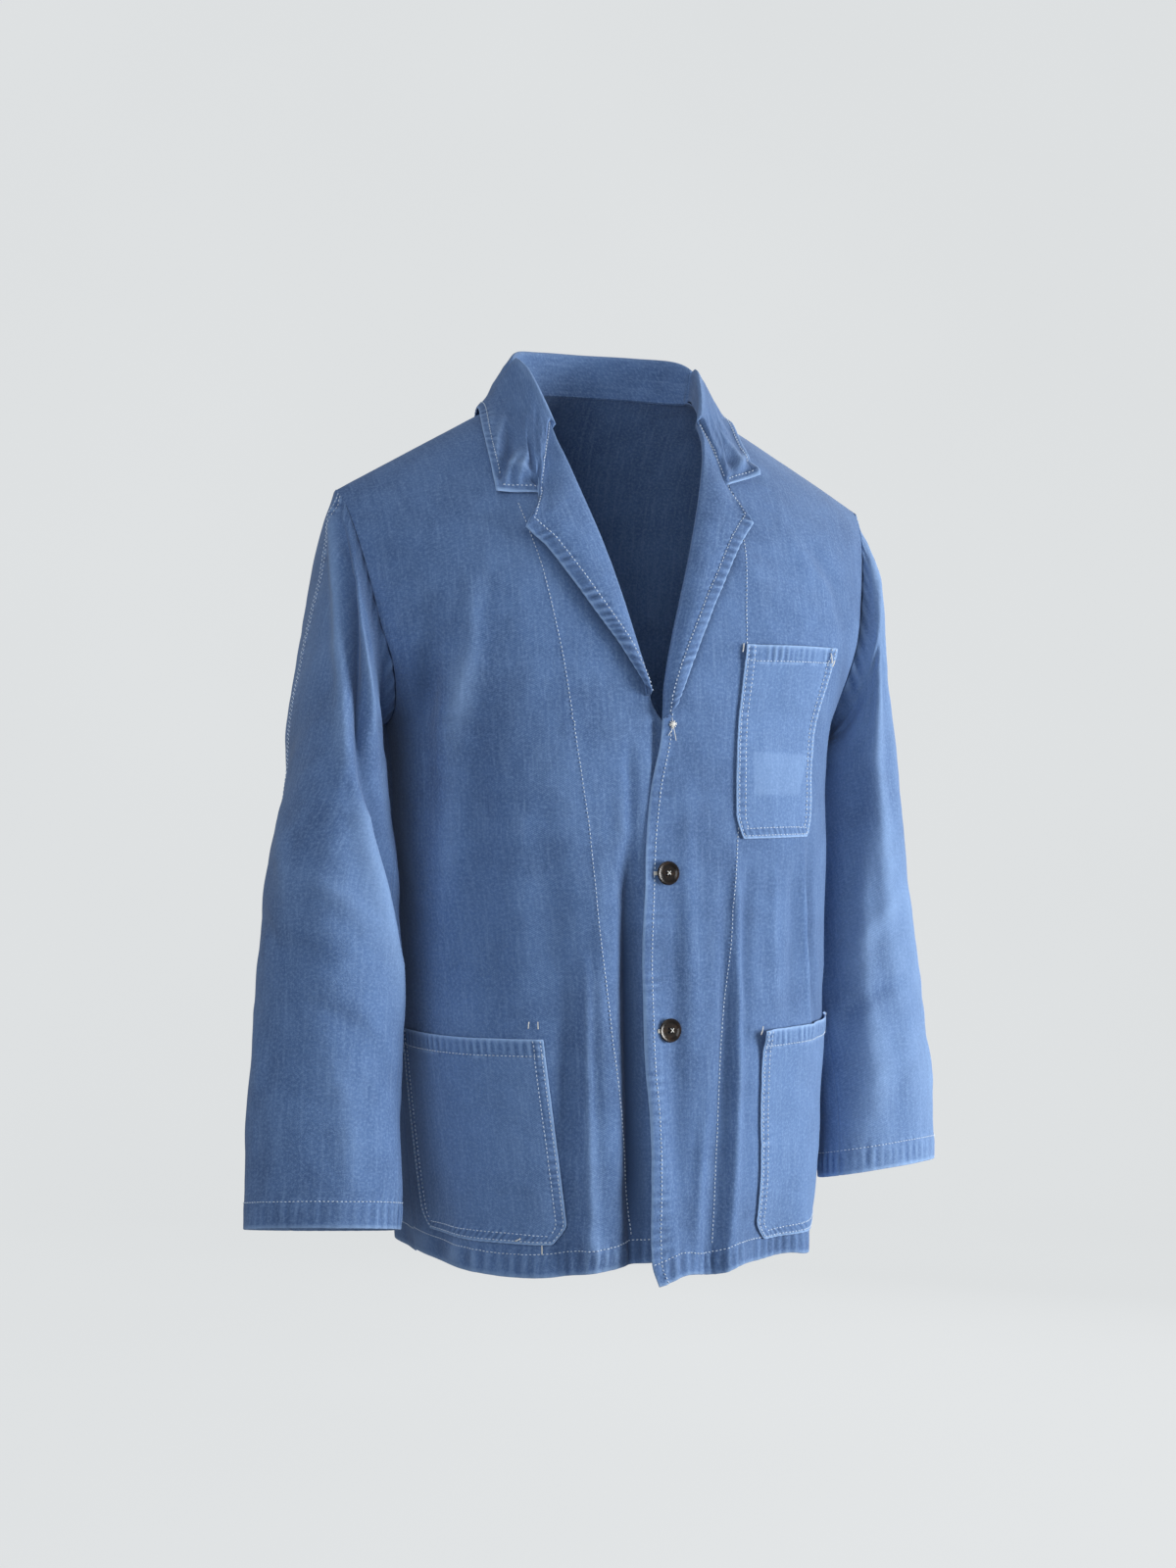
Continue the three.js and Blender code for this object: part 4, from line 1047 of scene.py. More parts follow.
def lapel_points(side, columns, rows):
    """A lapel: a half circle round the front's edge makes the roll, then it lies on the front.

    The half circle starts inside the front, passes the roll line and ends where the flat part starts;
    the flat part stands off in its middle and is puckered between its stitches and its edge."""
    u, w, px, pz = lapel_places(side, columns, rows)
    level = level_at(px, pz)
    s = across_at(px, level)
    stand = LAPEL_STAND_OFF * np.sin(math.pi * u**0.8 * 0.8) * (1 - ease((w - 0.84) / 0.16))
    stand += LAPEL_TIP_CURL * np.exp(-(((w - 0.91) / 0.07) ** 2)) * ease((u - 0.55) / 0.45)
    base = on_front(side, s, level, LAPEL_LIFT + 0.6 + stand)
    n = out_of(base, np.array([0, -1.0, 0]))
    up = arc(base, 0)
    edge = arc_from_end(base, 1)
    end = arc_from_end(base, 0)
    line = edge - LAPEL_STITCH_IN
    puckers = pucker(up, line + 5, 7.0, 7, 101 + side)
    height = 0.8 * puckers + 0.4 * groove(line, 1.2) + 0.6 * ease((LAPEL_STITCH_IN + 1 - edge) / 2)
    # Lapel edge and end paler from wear; pucker valleys darker, partly kept dye and partly painted shade
    wear_and_painted_light = 1.1 * np.exp(-edge / 1.3) + 0.6 * puckers + 0.4 * np.exp(-end / 1.5)
    wear_and_painted_light += -0.26 * (1 - ease((edge - LAPEL_STITCH_IN + 1) / 2)) + 0.15 * np.exp(-((u / 0.05) ** 2))
    flat = base + n * (height * ease(u / 0.12))[..., None]
    turn = np.linspace(-1.5, 1.35, ROLL_STEPS)[None, :, None]
    out = n[:, :1]
    away = unit(flat[:, 2:3] - flat[:, :1])
    centre = flat[:, :1] - out * ROLL_RADIUS
    roll = centre + (out * np.sin(turn) - away * np.cos(turn)) * ROLL_RADIUS
    worn = np.broadcast_to(0.15 * np.cos(turn[..., 0]), roll.shape[:2])
    return np.concatenate([roll, flat[:, 1:]], 1), np.concatenate([worn, wear_and_painted_light[:, 1:]], 1)


def make_lapel(side):
    """Builds one lapel."""
    word = WORD[side]
    p, wear_and_painted_light = lapel_points(side, *LAPEL_GRID)
    thing = make_piece(f"{word}_lapel", p, np.array([0, -1.0, 0]), wear_and_painted_light, LAPEL_LAYERS)


def pocket_params(spec, u, w):
    """Place across and level of a pocket's parameters, with its lower corners cut."""
    z = lerp(spec["bottom"], spec["top"], w)
    narrow = np.where(w < spec["cut"], 1 - 0.16 * (1 - np.minimum(w / spec["cut"], 1)) ** 1.5, 1.0)
    across = lerp(spec["inner"], spec["outer"], 0.5 + (u - 0.5) * narrow)
    s = across + spec["slant"] * (1 - w)
    v = level_at(body(s, level_at(0.0, z), FRONT)[..., 0], z)
    return s, v


POCKET_HEM = 13.0
POCKET_FADE = 0.07


def pocket_points(spec, columns, rows, seed):
    """A patch pocket on its front: the hemmed mouth is thicker, the stitched edges are puckered."""
    u, w = grid(columns, rows)
    s, v = pocket_params(spec, u, w)
    base = on_front(spec["side"], s, v, POCKET_LIFT - 0.8)
    n = out_of(base, np.array([0.3 * spec["side"], -1.0, 0]))
    inner = arc(base, 1)
    outer = arc_from_end(base, 1)
    up = arc(base, 0)
    down = arc_from_end(base, 0)
    sides = np.minimum(inner, outer)
    rim = np.minimum(sides, up)
    line = down - POCKET_HEM
    rows_across = pucker(up, sides - 5, 5.8, 5, seed + 1) * ease((up - 5) / 3)
    rows_below = pucker(inner, up - 5, 5.8, 5, seed + 2)
    mouth = pucker(inner, line + 6, 6.5, 7, seed)
    height = 0.7 * mouth + 0.4 * groove(line, 1.2)
    height += 0.7 * ease((POCKET_HEM + 1 - down) / 2) + 0.5 * rows_across + 0.5 * rows_below
    height += 0.4 * groove(rim - 2.0, 0.9) + 0.4 * groove(rim - 8.0, 0.9) + 0.5 * ease((9 - rim) / 1.5)
    middle = np.sin(math.pi * np.clip(u, 0, 1)) * w
    height += 1.3 * middle + 0.9 * soft_noise(inner, up, 40, seed + 3) * middle
    height += spec["curl"][0] * np.exp(-((inner / 9) ** 2) - (down / 14) ** 2)
    height += spec["curl"][1] * np.exp(-((outer / 11) ** 2) - (down / 18) ** 2)
    wear_and_painted_light = 0.9 * np.exp(-rim / 1.1) + 1.0 * np.exp(-down / 1.3) - 0.16 * (rim > 2.8) * (rim < 7.6)
    # Pucker crests paler, valleys darker: partly wear and kept dye, partly painted shade
    wear_and_painted_light = wear_and_painted_light + 0.45 * (mouth + rows_across + rows_below)
    under_hem = np.exp(-(((down - POCKET_HEM - 1.2) / 1.2) ** 2))
    wear_and_painted_light += 0.3 * under_hem * (0.6 + soft_noise(inner, up * 0, 9, seed + 4))
    return base + n * height[..., None], wear_and_painted_light + POCKET_FADE


def make_pocket(name, spec, seed):
    """Builds one patch pocket."""
    p, wear_and_painted_light = pocket_points(spec, *POCKET_GRID, seed)
    if name == "chest_pocket":
        wear_and_painted_light = wear_and_painted_light + faded_patch(p)
    outward = np.array([0.3 * spec["side"], -1.0, 0])
    thing = make_piece(name, p, outward, wear_and_painted_light, kind="pocket")


def faded_patch(p):
    """A plain paler four-sided area low on the chest pocket, where the cloth faded less evenly."""
    x, z = p[..., 0], p[..., 2]
    left = ease((x - 76) / 3)
    right = 1 - ease((x - 136 - (z + 318) * 0.38) / 3)
    top = 1 - ease((z + 315 + (x - 76) * 0.05) / 3)
    low = ease((z + 352) / 6)
    return 0.2 * left * right * top * low


def shoulder_z(x, y):
    """Height of the shoulders under a point, found by going back and forth between level and width."""
    ahead = y < SIDE_Y
    rise, power = (np.where(ahead, a, b) for a, b in zip(CLOSING[FRONT], CLOSING[BACK]))
    full = np.where(ahead, BODY["front"][-1], BODY["back"][-1])
    v = np.full(np.shape(x), 0.8)
    for _ in range(6):
        share = np.clip(np.abs(x - MID_X) / half_at(v), 0, 0.99)
        middle = (1 - share**SQUARE) ** (1 / SQUARE)
        part = np.clip(np.abs(y - SIDE_Y) / (full * middle), 0, 0.999)
        v = (1 - part ** (1 / power)) ** (1 / rise)
    return height_at(x, v)


def clear_of_shoulders(p, lift):
    """Moves points that lie too near the shoulders out along the shoulders' slope."""
    step = 0.5
    for _ in range(4):
        x, y, z = p[..., 0], p[..., 1], p[..., 2]
        slope_x = (shoulder_z(x + step, y) - shoulder_z(x - step, y)) / (2 * step)
        slope_y = (shoulder_z(x, y + step) - shoulder_z(x, y - step)) / (2 * step)
        normal = np.stack([-slope_x, -slope_y, np.ones_like(x)], -1)
        clear = (z - shoulder_z(x, y)) / np.linalg.norm(normal, axis=-1)
        p = p + unit(normal) * np.maximum(lift - clear, 0)[..., None]
    return p


def neckline_at(side, at):
    """Where the collar is sewn on: the back neckline, then the inner edge of the front."""
    turn = np.minimum(at / COLLAR_SHOULDER_AT, 1)
    x = MID_X + side * NECK_HALF * np.sin(turn * math.pi / 2)
    off = np.abs(x - MID_X) / NECK_HALF
    v = np.minimum(level_at(x, lerp(NAPE_Z, ridge_z(MID_X + NECK_HALF), off * off)), 0.9999)
    behind = body(across_at(x, v), v, BACK)
    behind[..., 2] -= 1.5
    t = np.clip((at - COLLAR_SHOULDER_AT) / (1 - COLLAR_SHOULDER_AT), 0, 1)
    v = np.minimum(lerp(1, COLLAR_FRONT_V, t), 0.9999)
    x = np.where(side < 0, edge_x(RIGHT, v), edge_x(LEFT, v))
    ahead = body(across_at(x, v), v, FRONT)
    ahead[..., 0] -= side * lerp(0, 2, ease(t * 4))
    ahead[..., 2] += lerp(1.5, 0.5, ease(t * 3))
    return np.where((at <= COLLAR_SHOULDER_AT)[..., None], behind, ahead)


def notch_point(side):
    """The notch, where the collar's front end meets the lapel."""
    x, z = (np.array([value]) for value in NOTCHES[side])
    v = level_at(x, z)
    return on_front(side, across_at(x, v), v, COLLAR_LIFT)[0]


# Places of the section's points across the collar, and the shares of the leaf where they lie
COLLAR_LEAF = (0.25, 0.42, 0.5, 0.58, 0.75, 1.0)
COLLAR_PLACES = np.array([0, 0.12, 0.24, 0.27, 0.30, 0.475, 0.594, 0.65, 0.706, 0.825, 1.0])


def collar_half(side, at):
    """Points across one half of the collar: up the stand, over the fold and down the leaf.

    At the front end the leaf goes down the gorge to the notch, then out along its free end."""
    value = lambda column: read(COLLARS[side], "at", at, column)[:, None]
    seam = neckline_at(np.full(at.shape, float(side)), at)
    up = np.array([0, 0, 1.0])
    level = unit((seam - np.array([MID_X, 0, 0])) * (1 - up))
    fold = seam + level * value("lean") + up * value("stand")
    rim = np.concatenate([MID_X + side * value("rimX"), value("rimY"), 0 * value("rimX")], -1)
    rim[:, 2] = shoulder_z(rim[:, 0], rim[:, 1]) + COLLAR_LIFT
    outward = unit((rim - fold) * (1 - up))
    under, over = fold - outward * COLLAR_FOLD_RADIUS, fold + outward * COLLAR_FOLD_RADIUS
    notch = notch_point(side)[None]
    leaf = []
    for q in COLLAR_LEAF:
        straight = lerp(over, rim, q)
        bent = lerp(over, notch, 2 * q) if q < 0.5 else lerp(notch, rim, 2 * q - 1)
        leaf.append(clear_of_shoulders(lerp(straight, bent, value("gorge")), COLLAR_LIFT))
    top = fold + up * COLLAR_FOLD_RADIUS
    return np.stack([seam, lerp(seam, under, 0.5), under, top, over, *leaf], 1)


def collar_points(columns, rows):
    """The collar's surface: a smooth line through each section's points, both halves joined at the nape."""
    t = np.linspace(-1, 1, rows)
    low, high = t < 0, t >= 0
    knots = np.concatenate([collar_half(RIGHT, -t[low]), collar_half(LEFT, t[high])])
    u = np.linspace(0, 1, columns)
    slope = np.empty_like(knots)
    slope[:, 1:-1] = (knots[:, 2:] - knots[:, :-2]) / (COLLAR_PLACES[2:] - COLLAR_PLACES[:-2])[None, :, None]
    slope[:, 0] = (knots[:, 1] - knots[:, 0]) / (COLLAR_PLACES[1] - COLLAR_PLACES[0])
    slope[:, -1] = (knots[:, -1] - knots[:, -2]) / (COLLAR_PLACES[-1] - COLLAR_PLACES[-2])
    i = np.clip(np.searchsorted(COLLAR_PLACES, u, side="left") - 1, 0, len(COLLAR_PLACES) - 2)
    span = (COLLAR_PLACES[i + 1] - COLLAR_PLACES[i])[None, :, None]
    k = ((u - COLLAR_PLACES[i]) / span[0, :, 0])[None, :, None]
    p = cubic(knots[:, i], knots[:, i + 1], slope[:, i], slope[:, i + 1], span, k)
    return p, np.broadcast_to(u, (rows, columns))


# Creases of the collar's leaf: distance along from its right front end, and in from its outer edge
COLLAR_CREASES = creases(
    (2, 6, 44, 36, 4, 3, 3.6), (8, 2, 58, 24, -4, 3, -3.4), (4, 16, 52, 52, 4, 3, 3.0),
    (16, 4, 76, 26, 3, 3, 2.6), (4, 34, 50, 50, 4, 4, -2.6), (30, 4, 90, 20, 4, 6, 2.0),
    (24, 12, 20, 50, 3, 4, 2.0), (12, 20, 14, 54, 3, 3, -2.2),
    (60, 30, 110, 14, 5, 8, -1.4), (130, 6, 170, 34, 6, 9, 1.4), (210, 8, 240, 40, 6, 9, -1.4),
    (270, 6, 300, 34, 6, 9, 1.4), (330, 8, 372, 30, 5, 8, 1.6), (350, 22, 396, 10, 4, 6, -1.8),
    (372, 34, 412, 16, 4, 5, 2.2), (384, 44, 418, 30, 4, 5, -2.0), (396, 2, 404, 40, 4, 5, 2.0),
)


COLLAR_RIM_LENGTH = 420.0
COLLAR_LAYERS = 1.2

# Between the fold and the notch the leaf's end is sewn down: how deep, and over what length
GORGE_SINK = 6.0
GORGE_ROUND = 6.0


def make_collar():
    """Builds the collar: its leaf is puckered along the edge stitch, creased, and curled at one tip."""
    p, u = collar_points(*COLLAR_GRID)
    n = unit(np.cross(np.gradient(p, axis=1), np.gradient(p, axis=0)))
    middle = len(p) // 2
    n = n * (np.sign(n[middle, -20, 2]) or 1)
    along = arc(p, 0)[:, -1:]
    edge = arc_from_end(p, 1)
    end = np.minimum(along, along[-1:] - along)
    rim = np.minimum(edge, end)
    leaf = ease((u - 0.32) / 0.1)
    scale = COLLAR_RIM_LENGTH / along[-1, 0]
    folds = crease(along * scale, edge, COLLAR_CREASES)
    puckers = pucker(along, edge - 4, 8.0, 7, 121)
    height = leaf * folds
    height += leaf * (0.5 * puckers + 0.4 * groove(rim - 6.0, 1.1))
    height += leaf * (0.5 * ease((7 - rim) / 1.5) + 1.3 * soft_noise(along, edge, 26, 122))
    height += leaf * 1.3 * soft_noise(along, edge, 11, 123) * np.exp(-end / 60)
    height += leaf * 0.5 * soft_noise(along, edge, 5.5, 124) * np.exp(-end / 60)
    tip = along[-1:] - along
    height += 8 * np.exp(-((tip / 16) ** 2) - (edge / 18) ** 2)
    sewn = ease((u - 0.26) / 0.04) * (1 - ease((u - 0.6) / 0.08))
    deep = GORGE_SINK * (2 - ease((u - 0.3) / 0.15))
    height -= deep * sewn * (1 - ease(end / GORGE_ROUND))
    p = p + n * height[..., None]
    # Collar edge paler from wear; pucker valleys darker, partly kept dye and partly painted shade
    wear_and_painted_light = leaf * (0.95 * np.exp(-rim / 1.2) + 0.4 * puckers)
    # Fold crest paler from wear; crease troughs painted darker as shade
    wear_and_painted_light += 0.25 * np.exp(-(((u - 0.27) / 0.03) ** 2)) + leaf * 0.13 * folds - 0.12 * leaf
    thing = make_piece("collar", p, n, wear_and_painted_light, COLLAR_LAYERS)


# Rings of one stitch: place along it, share of the yarn's radius, and lift in yarns
STITCH_RINGS = ((-0.5, 0.35, -0.25), (-0.3, 1, 0.35), (0.3, 1, 0.35), (0.5, 0.35, -0.25))


def stitch_places(lines, pitch):
    """Middle, run and outward direction of every stitch, placed evenly along lines of points and normals."""
    centres, forwards, normals = [], [], []
    for p, n in lines:
        run = np.concatenate([[0], np.cumsum(np.linalg.norm(np.diff(p, axis=0), axis=1))])
        count = max(int(run[-1] / pitch), 1)
        places = (np.arange(count) + 0.5) * run[-1] / count
        at = lambda values, where: np.stack([np.interp(where, run, values[:, k]) for k in range(3)], -1)
        centres.append(at(p, places))
        forwards.append(at(p, places + pitch * 0.4) - at(p, places - pitch * 0.4))
        normals.append(unit(at(n, places)))
    return (np.concatenate(a) for a in (centres, forwards, normals))


def stitch_faces(count):
    """Faces of all stitches: four sides between each pair of rings, and both ends."""
    faces = [(0, 3, 2, 1), (12, 13, 14, 15)]
    for ring in range(3):
        for turn in range(4):
            a, b = ring * 4 + turn, ring * 4 + (turn + 1) % 4
            faces.append((a, b, b + 4, a + 4))
    return (np.array(faces)[None] + 16 * np.arange(count)[:, None, None]).reshape(-1, 4)


def stitches(name, lines):
    """Rows of stitches as one mesh: each stitch is a short four-sided tube with closed, narrow ends.

    A line is points and normals on cloth; stitches are placed evenly along it, a yarn's half above."""
    yarn = bpy.context.scene.jacket_sizes.yarn / MM
    centre, forward, normal = stitch_places(lines, bpy.context.scene.jacket_sizes.stitch / MM)
    jitter = np.random.default_rng(len(centre)).uniform(-1, 1, (len(centre), 2))
    length_of = np.linalg.norm(forward, axis=1, keepdims=True) * (0.78 + 0.1 * jitter[:, :1])
    forward = unit(forward)
    sideways = unit(np.cross(forward, normal))
    forward = unit(forward + sideways * jitter[:, 1:] * 0.07)
    points = []
    for along, radius, lift in STITCH_RINGS:
        for turn in range(4):
            a = math.radians(45 + 90 * turn)
            arm = (sideways * math.cos(a) + normal * math.sin(a)) * yarn * 0.5 * radius
            points.append(centre + forward * length_of * along + normal * yarn * lift + arm)
    points = np.stack(points, 1).reshape(-1, 3)
    thing = mesh_object(name, points * MM, stitch_faces(len(centre)).tolist())
    return stand_in(thing, [], material("thread"))


def line_on(surface, u, w, count=400):
    """A line on a kept surface through parameters u and w, each a number or a list of them."""
    t = np.linspace(0, 1, count)
    spread = lambda values: np.interp(t, np.linspace(0, 1, len(values)), values)
    return sample(surface, spread(np.atleast_1d(u)), spread(np.atleast_1d(w)))


def offset_line(surface, inward, place, count=500):
    """A line at an even distance in millimetres from one side of a kept surface.

    place is hem, inner, outer or top; the line is found on the grid by distance from that side."""
    p = SURFACES[surface][0]
    axis = 0 if place in ("hem", "top") else 1
    back = place in ("inner", "top")
    turned = np.flip(p, axis) if back else p
    away = np.moveaxis(arc(turned, axis), axis, 1)
    shares = np.linspace(0, 1, away.shape[1])
    fraction = np.array([np.interp(inward, run, shares) for run in away])
    fraction = 1 - fraction if back else fraction
    even = np.linspace(0, 1, len(away))
    u, w = (even, fraction) if axis == 0 else (fraction, even)
    return line_on(surface, u, w, count)


def cut_line(line, low, high):
    """The part of a line between two shares of its length."""
    p, n = line
    a, b = int(low * (len(p) - 1)), int(high * (len(p) - 1)) + 1
    return p[a:b], n[a:b]


# The facing's stitch line on each front: heights down it and its place across
FACING_LINES = {
    RIGHT: table("z x", (-117, -107), (-170, -95), (-240, -83), (-300, -74), (-370, -65), (-440, -59),
                 (-540, -48), (-640, -34), (-700, -27)),
    LEFT: table("z x", (-120, 82), (-200, 76), (-300, 72), (-380, 62), (-470, 52), (-560, 42),
                (-640, 37), (-700, 34)),
}


def facing_line(side):
    """Points and normals of the facing's stitch line on a front, from chest to hem."""
    rows = FACING_LINES[side]
    z = np.linspace(rows["z"][0], rows["z"][-1], 400)
    x = np.interp(-z, -rows["z"], rows["x"])
    u, w = front_uw(side, x, z)
    return sample(f"{WORD[side]}_front", u, w)


def pocket_lines(name):
    """Double stitching round a pocket's sides and bottom, and one line under its hem."""
    lines = [offset_line(name, POCKET_HEM, "top")]
    for inward in (2.2, 8.2):
        outer = cut_line(offset_line(name, inward, "outer"), inward / 160, 1)
        inner = cut_line(offset_line(name, inward, "inner"), inward / 160, 1)
        bottom = cut_line(offset_line(name, inward, "hem"), inward / 130, 1 - inward / 130)
        lines += [outer, inner, bottom]
    return lines


def make_stitches():
    """Sews the pale lines of the fronts, hems, cuffs, sleeves, pockets, lapels and collar."""
    lines = [facing_line(RIGHT), facing_line(LEFT)]
    lines += [offset_line(f"{w}_front", HEM_DEEP, "hem") for w in ("right", "left")]
    lines += [offset_line("back", HEM_DEEP, "hem")]
    lines += [cut_line(offset_line("left_front", EDGE_STITCH_IN, "inner"), 0.0, 0.55)]
    stitches("front_and_hem_stitches", lines)
    sleeves = []
    for word in ("right", "left"):
        sleeves += [offset_line(f"{word}_{kind}_sleeve", CUFF_DEEP, "hem", 200) for kind in ("top", "under")]
        sleeves += [offset_line(f"{word}_top_sleeve", inward, "outer") for inward in (1.6, 6.5)]
    stitches("sleeve_stitches", sleeves)
    pockets = []
    for name in POCKETS:
        pockets += pocket_lines(name)
    stitches("pocket_stitches", pockets)
    collar = [cut_line(offset_line("collar", 6.0, "inner"), 0.02, 0.98)]
    for place in ("hem", "top"):
        collar += [cut_line(offset_line("collar", 5.0, place), 0.34, 0.62)]
        collar += [cut_line(offset_line("collar", 6.0, place), 0.67, 0.95)]
    collar += [offset_line(f"{w}_lapel", LAPEL_STITCH_IN, "inner", 300) for w in ("right", "left")]
    collar += [cut_line(offset_line(f"{w}_lapel", 4.0, "top", 200), 0.15, 0.9) for w in ("right", "left")]
    stitches("collar_stitches", collar)


BUTTONS = {"middle_button": -409.0, "lower_button": -532.0}
BUTTON_X = -3.0
LOST_BUTTON = (5.0, -292.0)


def tube(points, radius, sides=8):
    """A closed tube along points, as vertices and faces: rings square to the path, ends capped."""
    p = np.asarray(points, float)
    forward = unit(np.gradient(p, axis=0))
    start = np.array([0.31, 0.52, 0.8])
    side = unit(np.cross(forward, start))
    up = np.cross(side, forward)
    angles = (np.arange(sides) * 2 * math.pi / sides)[None, :, None]
    ring = (side[:, None] * np.cos(angles) + up[:, None] * np.sin(angles)) * radius
    vertices = (p[:, None] + ring).reshape(-1, 3)
    faces = []
    for j in range(len(p) - 1):
        for k in range(sides):
            a, b = j * sides + k, j * sides + (k + 1) % sides
            faces.append([a, b, b + sides, a + sides])
    faces.append(list(range(sides))[::-1])
    faces.append([(len(p) - 1) * sides + k for k in range(sides)])
    return vertices, faces


def join_parts(name, parts, key):
    """One object from lists of vertices and faces."""
    vertices, faces, base = [], [], 0
    for v, f in parts:
        vertices.append(v)
        faces += [[i + base for i in face] for face in f]
        base += len(v)
    thing = mesh_object(name, np.concatenate(vertices) * MM, faces)
    return stand_in(thing, [], material(key))


def front_frame(x, z, side=LEFT):
    """Point, outward, right and up directions on a front at a place across and a height."""
    u, w = front_uw(side, np.array([x]), np.array([z]))
    p, n = sample(f"{WORD[side]}_front", u, w)
    out = n[0]
    right = unit(np.cross(np.array([0, 0, 1.0]), -out))
    right = right if right[0] > 0 else -right
    up = np.cross(out, right)
    up = up if up[2] > 0 else -up
    return p[0], out, right, up


# Short tacks of white thread: side, place across, height, lift, slope in degrees and length
TACKS = (
    (RIGHT, -111.0, -526.0, 0.6, 84.0, 5.5), (RIGHT, -104.5, -526.0, 0.6, 92.0, 5.5),
    (RIGHT, -101.0, -699.0, 1.2, 91.0, 11.0), (RIGHT, -116.0, -693.0, 4.4, 25.0, 5.0),
    (LEFT, 67.0, -231.0, 6.0, 78.0, 7.0), (LEFT, 157.0, -237.0, 6.4, 100.0, 8.0),
    (LEFT, 160.0, -241.0, 6.0, 60.0, 6.0), (LEFT, 75.0, -536.0, 8.0, 70.0, 7.0),
)


def tacks():
    """Short bars of thread, each a tube bowed a little off the cloth by a half sine."""
    made = []
    for side, x, z, lift, slope, length in TACKS:
        p, out, right, up = front_frame(x, z, side)
        way = right * math.cos(math.radians(slope)) + up * math.sin(math.radians(slope))
        t = np.linspace(-0.5, 0.5, 7)[:, None]
        made.append(tube(p + out * (lift + 0.4 * np.cos(math.pi * t)) + way * length * t, 0.45, 6))
    return made


def make_buttons():
    """Finishes the buttons, their thread crosses, the buttonholes and the lost button's thread."""
    for name in BUTTONS:
        node = bpy.data.objects[name]
        for slot in node.material_slots:
            slot.material = material("button")
        if not node.material_slots:
            node.data.materials.append(material("button"))
    parts, holes = [], []
    for name, z in BUTTONS.items():
        p, out, right, up = front_frame(BUTTON_X, z)
        top = p + out * 5.0
        for a, b in (((1, 1), (-1, -1)), ((1, -1), (-1, 1))):
            ends = [top + (right * q[0] + up * q[1]) * 1.5 for q in (a, b)]
            bow = lambda t: out * (0.5 * math.sin(math.pi * t) - 0.6)
            path = [lerp(ends[0], ends[1], t) + bow(t) for t in np.linspace(0, 1, 7)]
            parts.append(tube(path, 0.35))
        for way in (-1, 1):
            start = p + right * way * 8.5 + out * 0.5
            for k in range(4):
                end = start + up * (k - 1.5) * 0.75
                bow = lambda t: out * 0.25 * math.sin(math.pi * t)
                path = [end + right * way * t * 3.2 + bow(t) for t in np.linspace(0, 1, 5)]
                holes.append(tube(path, 0.38, 6))
    p, out, right, up = front_frame(*LOST_BUTTON)
    for k in range(5):
        turn = math.radians(18 + 40 * k)
        arm = (right * math.cos(turn) + up * math.sin(turn)) * 3.2
        bow = lambda t: out * (0.6 + 1.1 * math.sin(math.pi * t))
        path = [p + bow(t) + arm * (2 * t - 1) for t in np.linspace(0, 1, 9)]
        holes.append(tube(path, 0.45, 6))
    for sway, drop in ((-4.5, 9.0), (2.5, 13.0)):
        bow = lambda t: out * (1.2 + 0.5 * math.sin(3 * t))
        path = [p + bow(t) + right * sway * t**1.4 - up * drop * t for t in np.linspace(0, 1, 16)]
        holes.append(tube(path, 0.3, 6))
    holes += tacks()
    join_parts("button_threads", parts, "white")
    join_parts("buttonhole_threads", holes, "white")


def backdrop_material(colour, glow):
    """A pale matt finish for the floor and the wall, very faintly clouded, with an even glow of its own."""
    t = Nodes("pale_backdrop")
    place = t.node("ShaderNodeTexCoord").outputs["Object"]
    shade = t.blend(t.noise(place, 0.6), tint(tuple(0.94 * c for c in colour)), tint(colour))
    t.link(shade, t.shader.inputs["Emission Color"])
    t.set(Emission_Strength=glow, Base_Color=(0.05, 0.05, 0.052, 1), Specular_IOR_Level=0.0, Roughness=0.9)
    return t.material


CAMERA_DISTANCE = 1.98
CAMERA_HEIGHT = -0.305
CAMERA_ASIDE = -0.0132
FOCAL_LENGTH = 54.09
SHIFT_Y = -44 / 1600
FLOOR_Z = -1.45
ROOM_RADIUS = 4.6
ROOM_CORNER = 0.8
ROOM_HEIGHT = 7.0
ROOM_SIDES = 96
BACKDROP_COLOUR = (0.86, 0.885, 0.895)
BACKDROP_GLOW = 0.85
WORLD_COLOUR = (0.80, 0.86, 0.94, 1)
WORLD_STRENGTH = 0.2

# Lamps: place to the camera's right, towards it and up, then size, power and colour
LAMP_TARGET = (0, 0, -0.35)
LAMPS = {
    "window": ((2.75, 0.45, -0.35), 1.4, 124, (1, 0.99, 0.97)),
    "room": ((-0.8, 3.0, 0.1), 2.6, 50, (0.97, 0.98, 1)),
    "wall_bounce": ((0.9, -2.6, 0.2), 2.6, 46, (1, 1, 1)),
    "sky": ((-0.6, 0.8, 2.0), 2.0, 10, (1, 1, 1)),
}


def area_light(name, place, size, power, colour):
    """A soft square lamp at a place, turned to the jacket's middle and not seen itself."""
    lamp = bpy.data.lights.new(name, "AREA")
    lamp.energy, lamp.size, lamp.color = power, size, colour
    thing = bpy.data.objects.new(name, lamp)
    bpy.context.collection.objects.link(thing)
    thing.location = place
    thing.rotation_euler = (Vector(LAMP_TARGET) - Vector(place)).to_track_quat("-Z", "Y").to_euler()
    thing.visible_camera = False


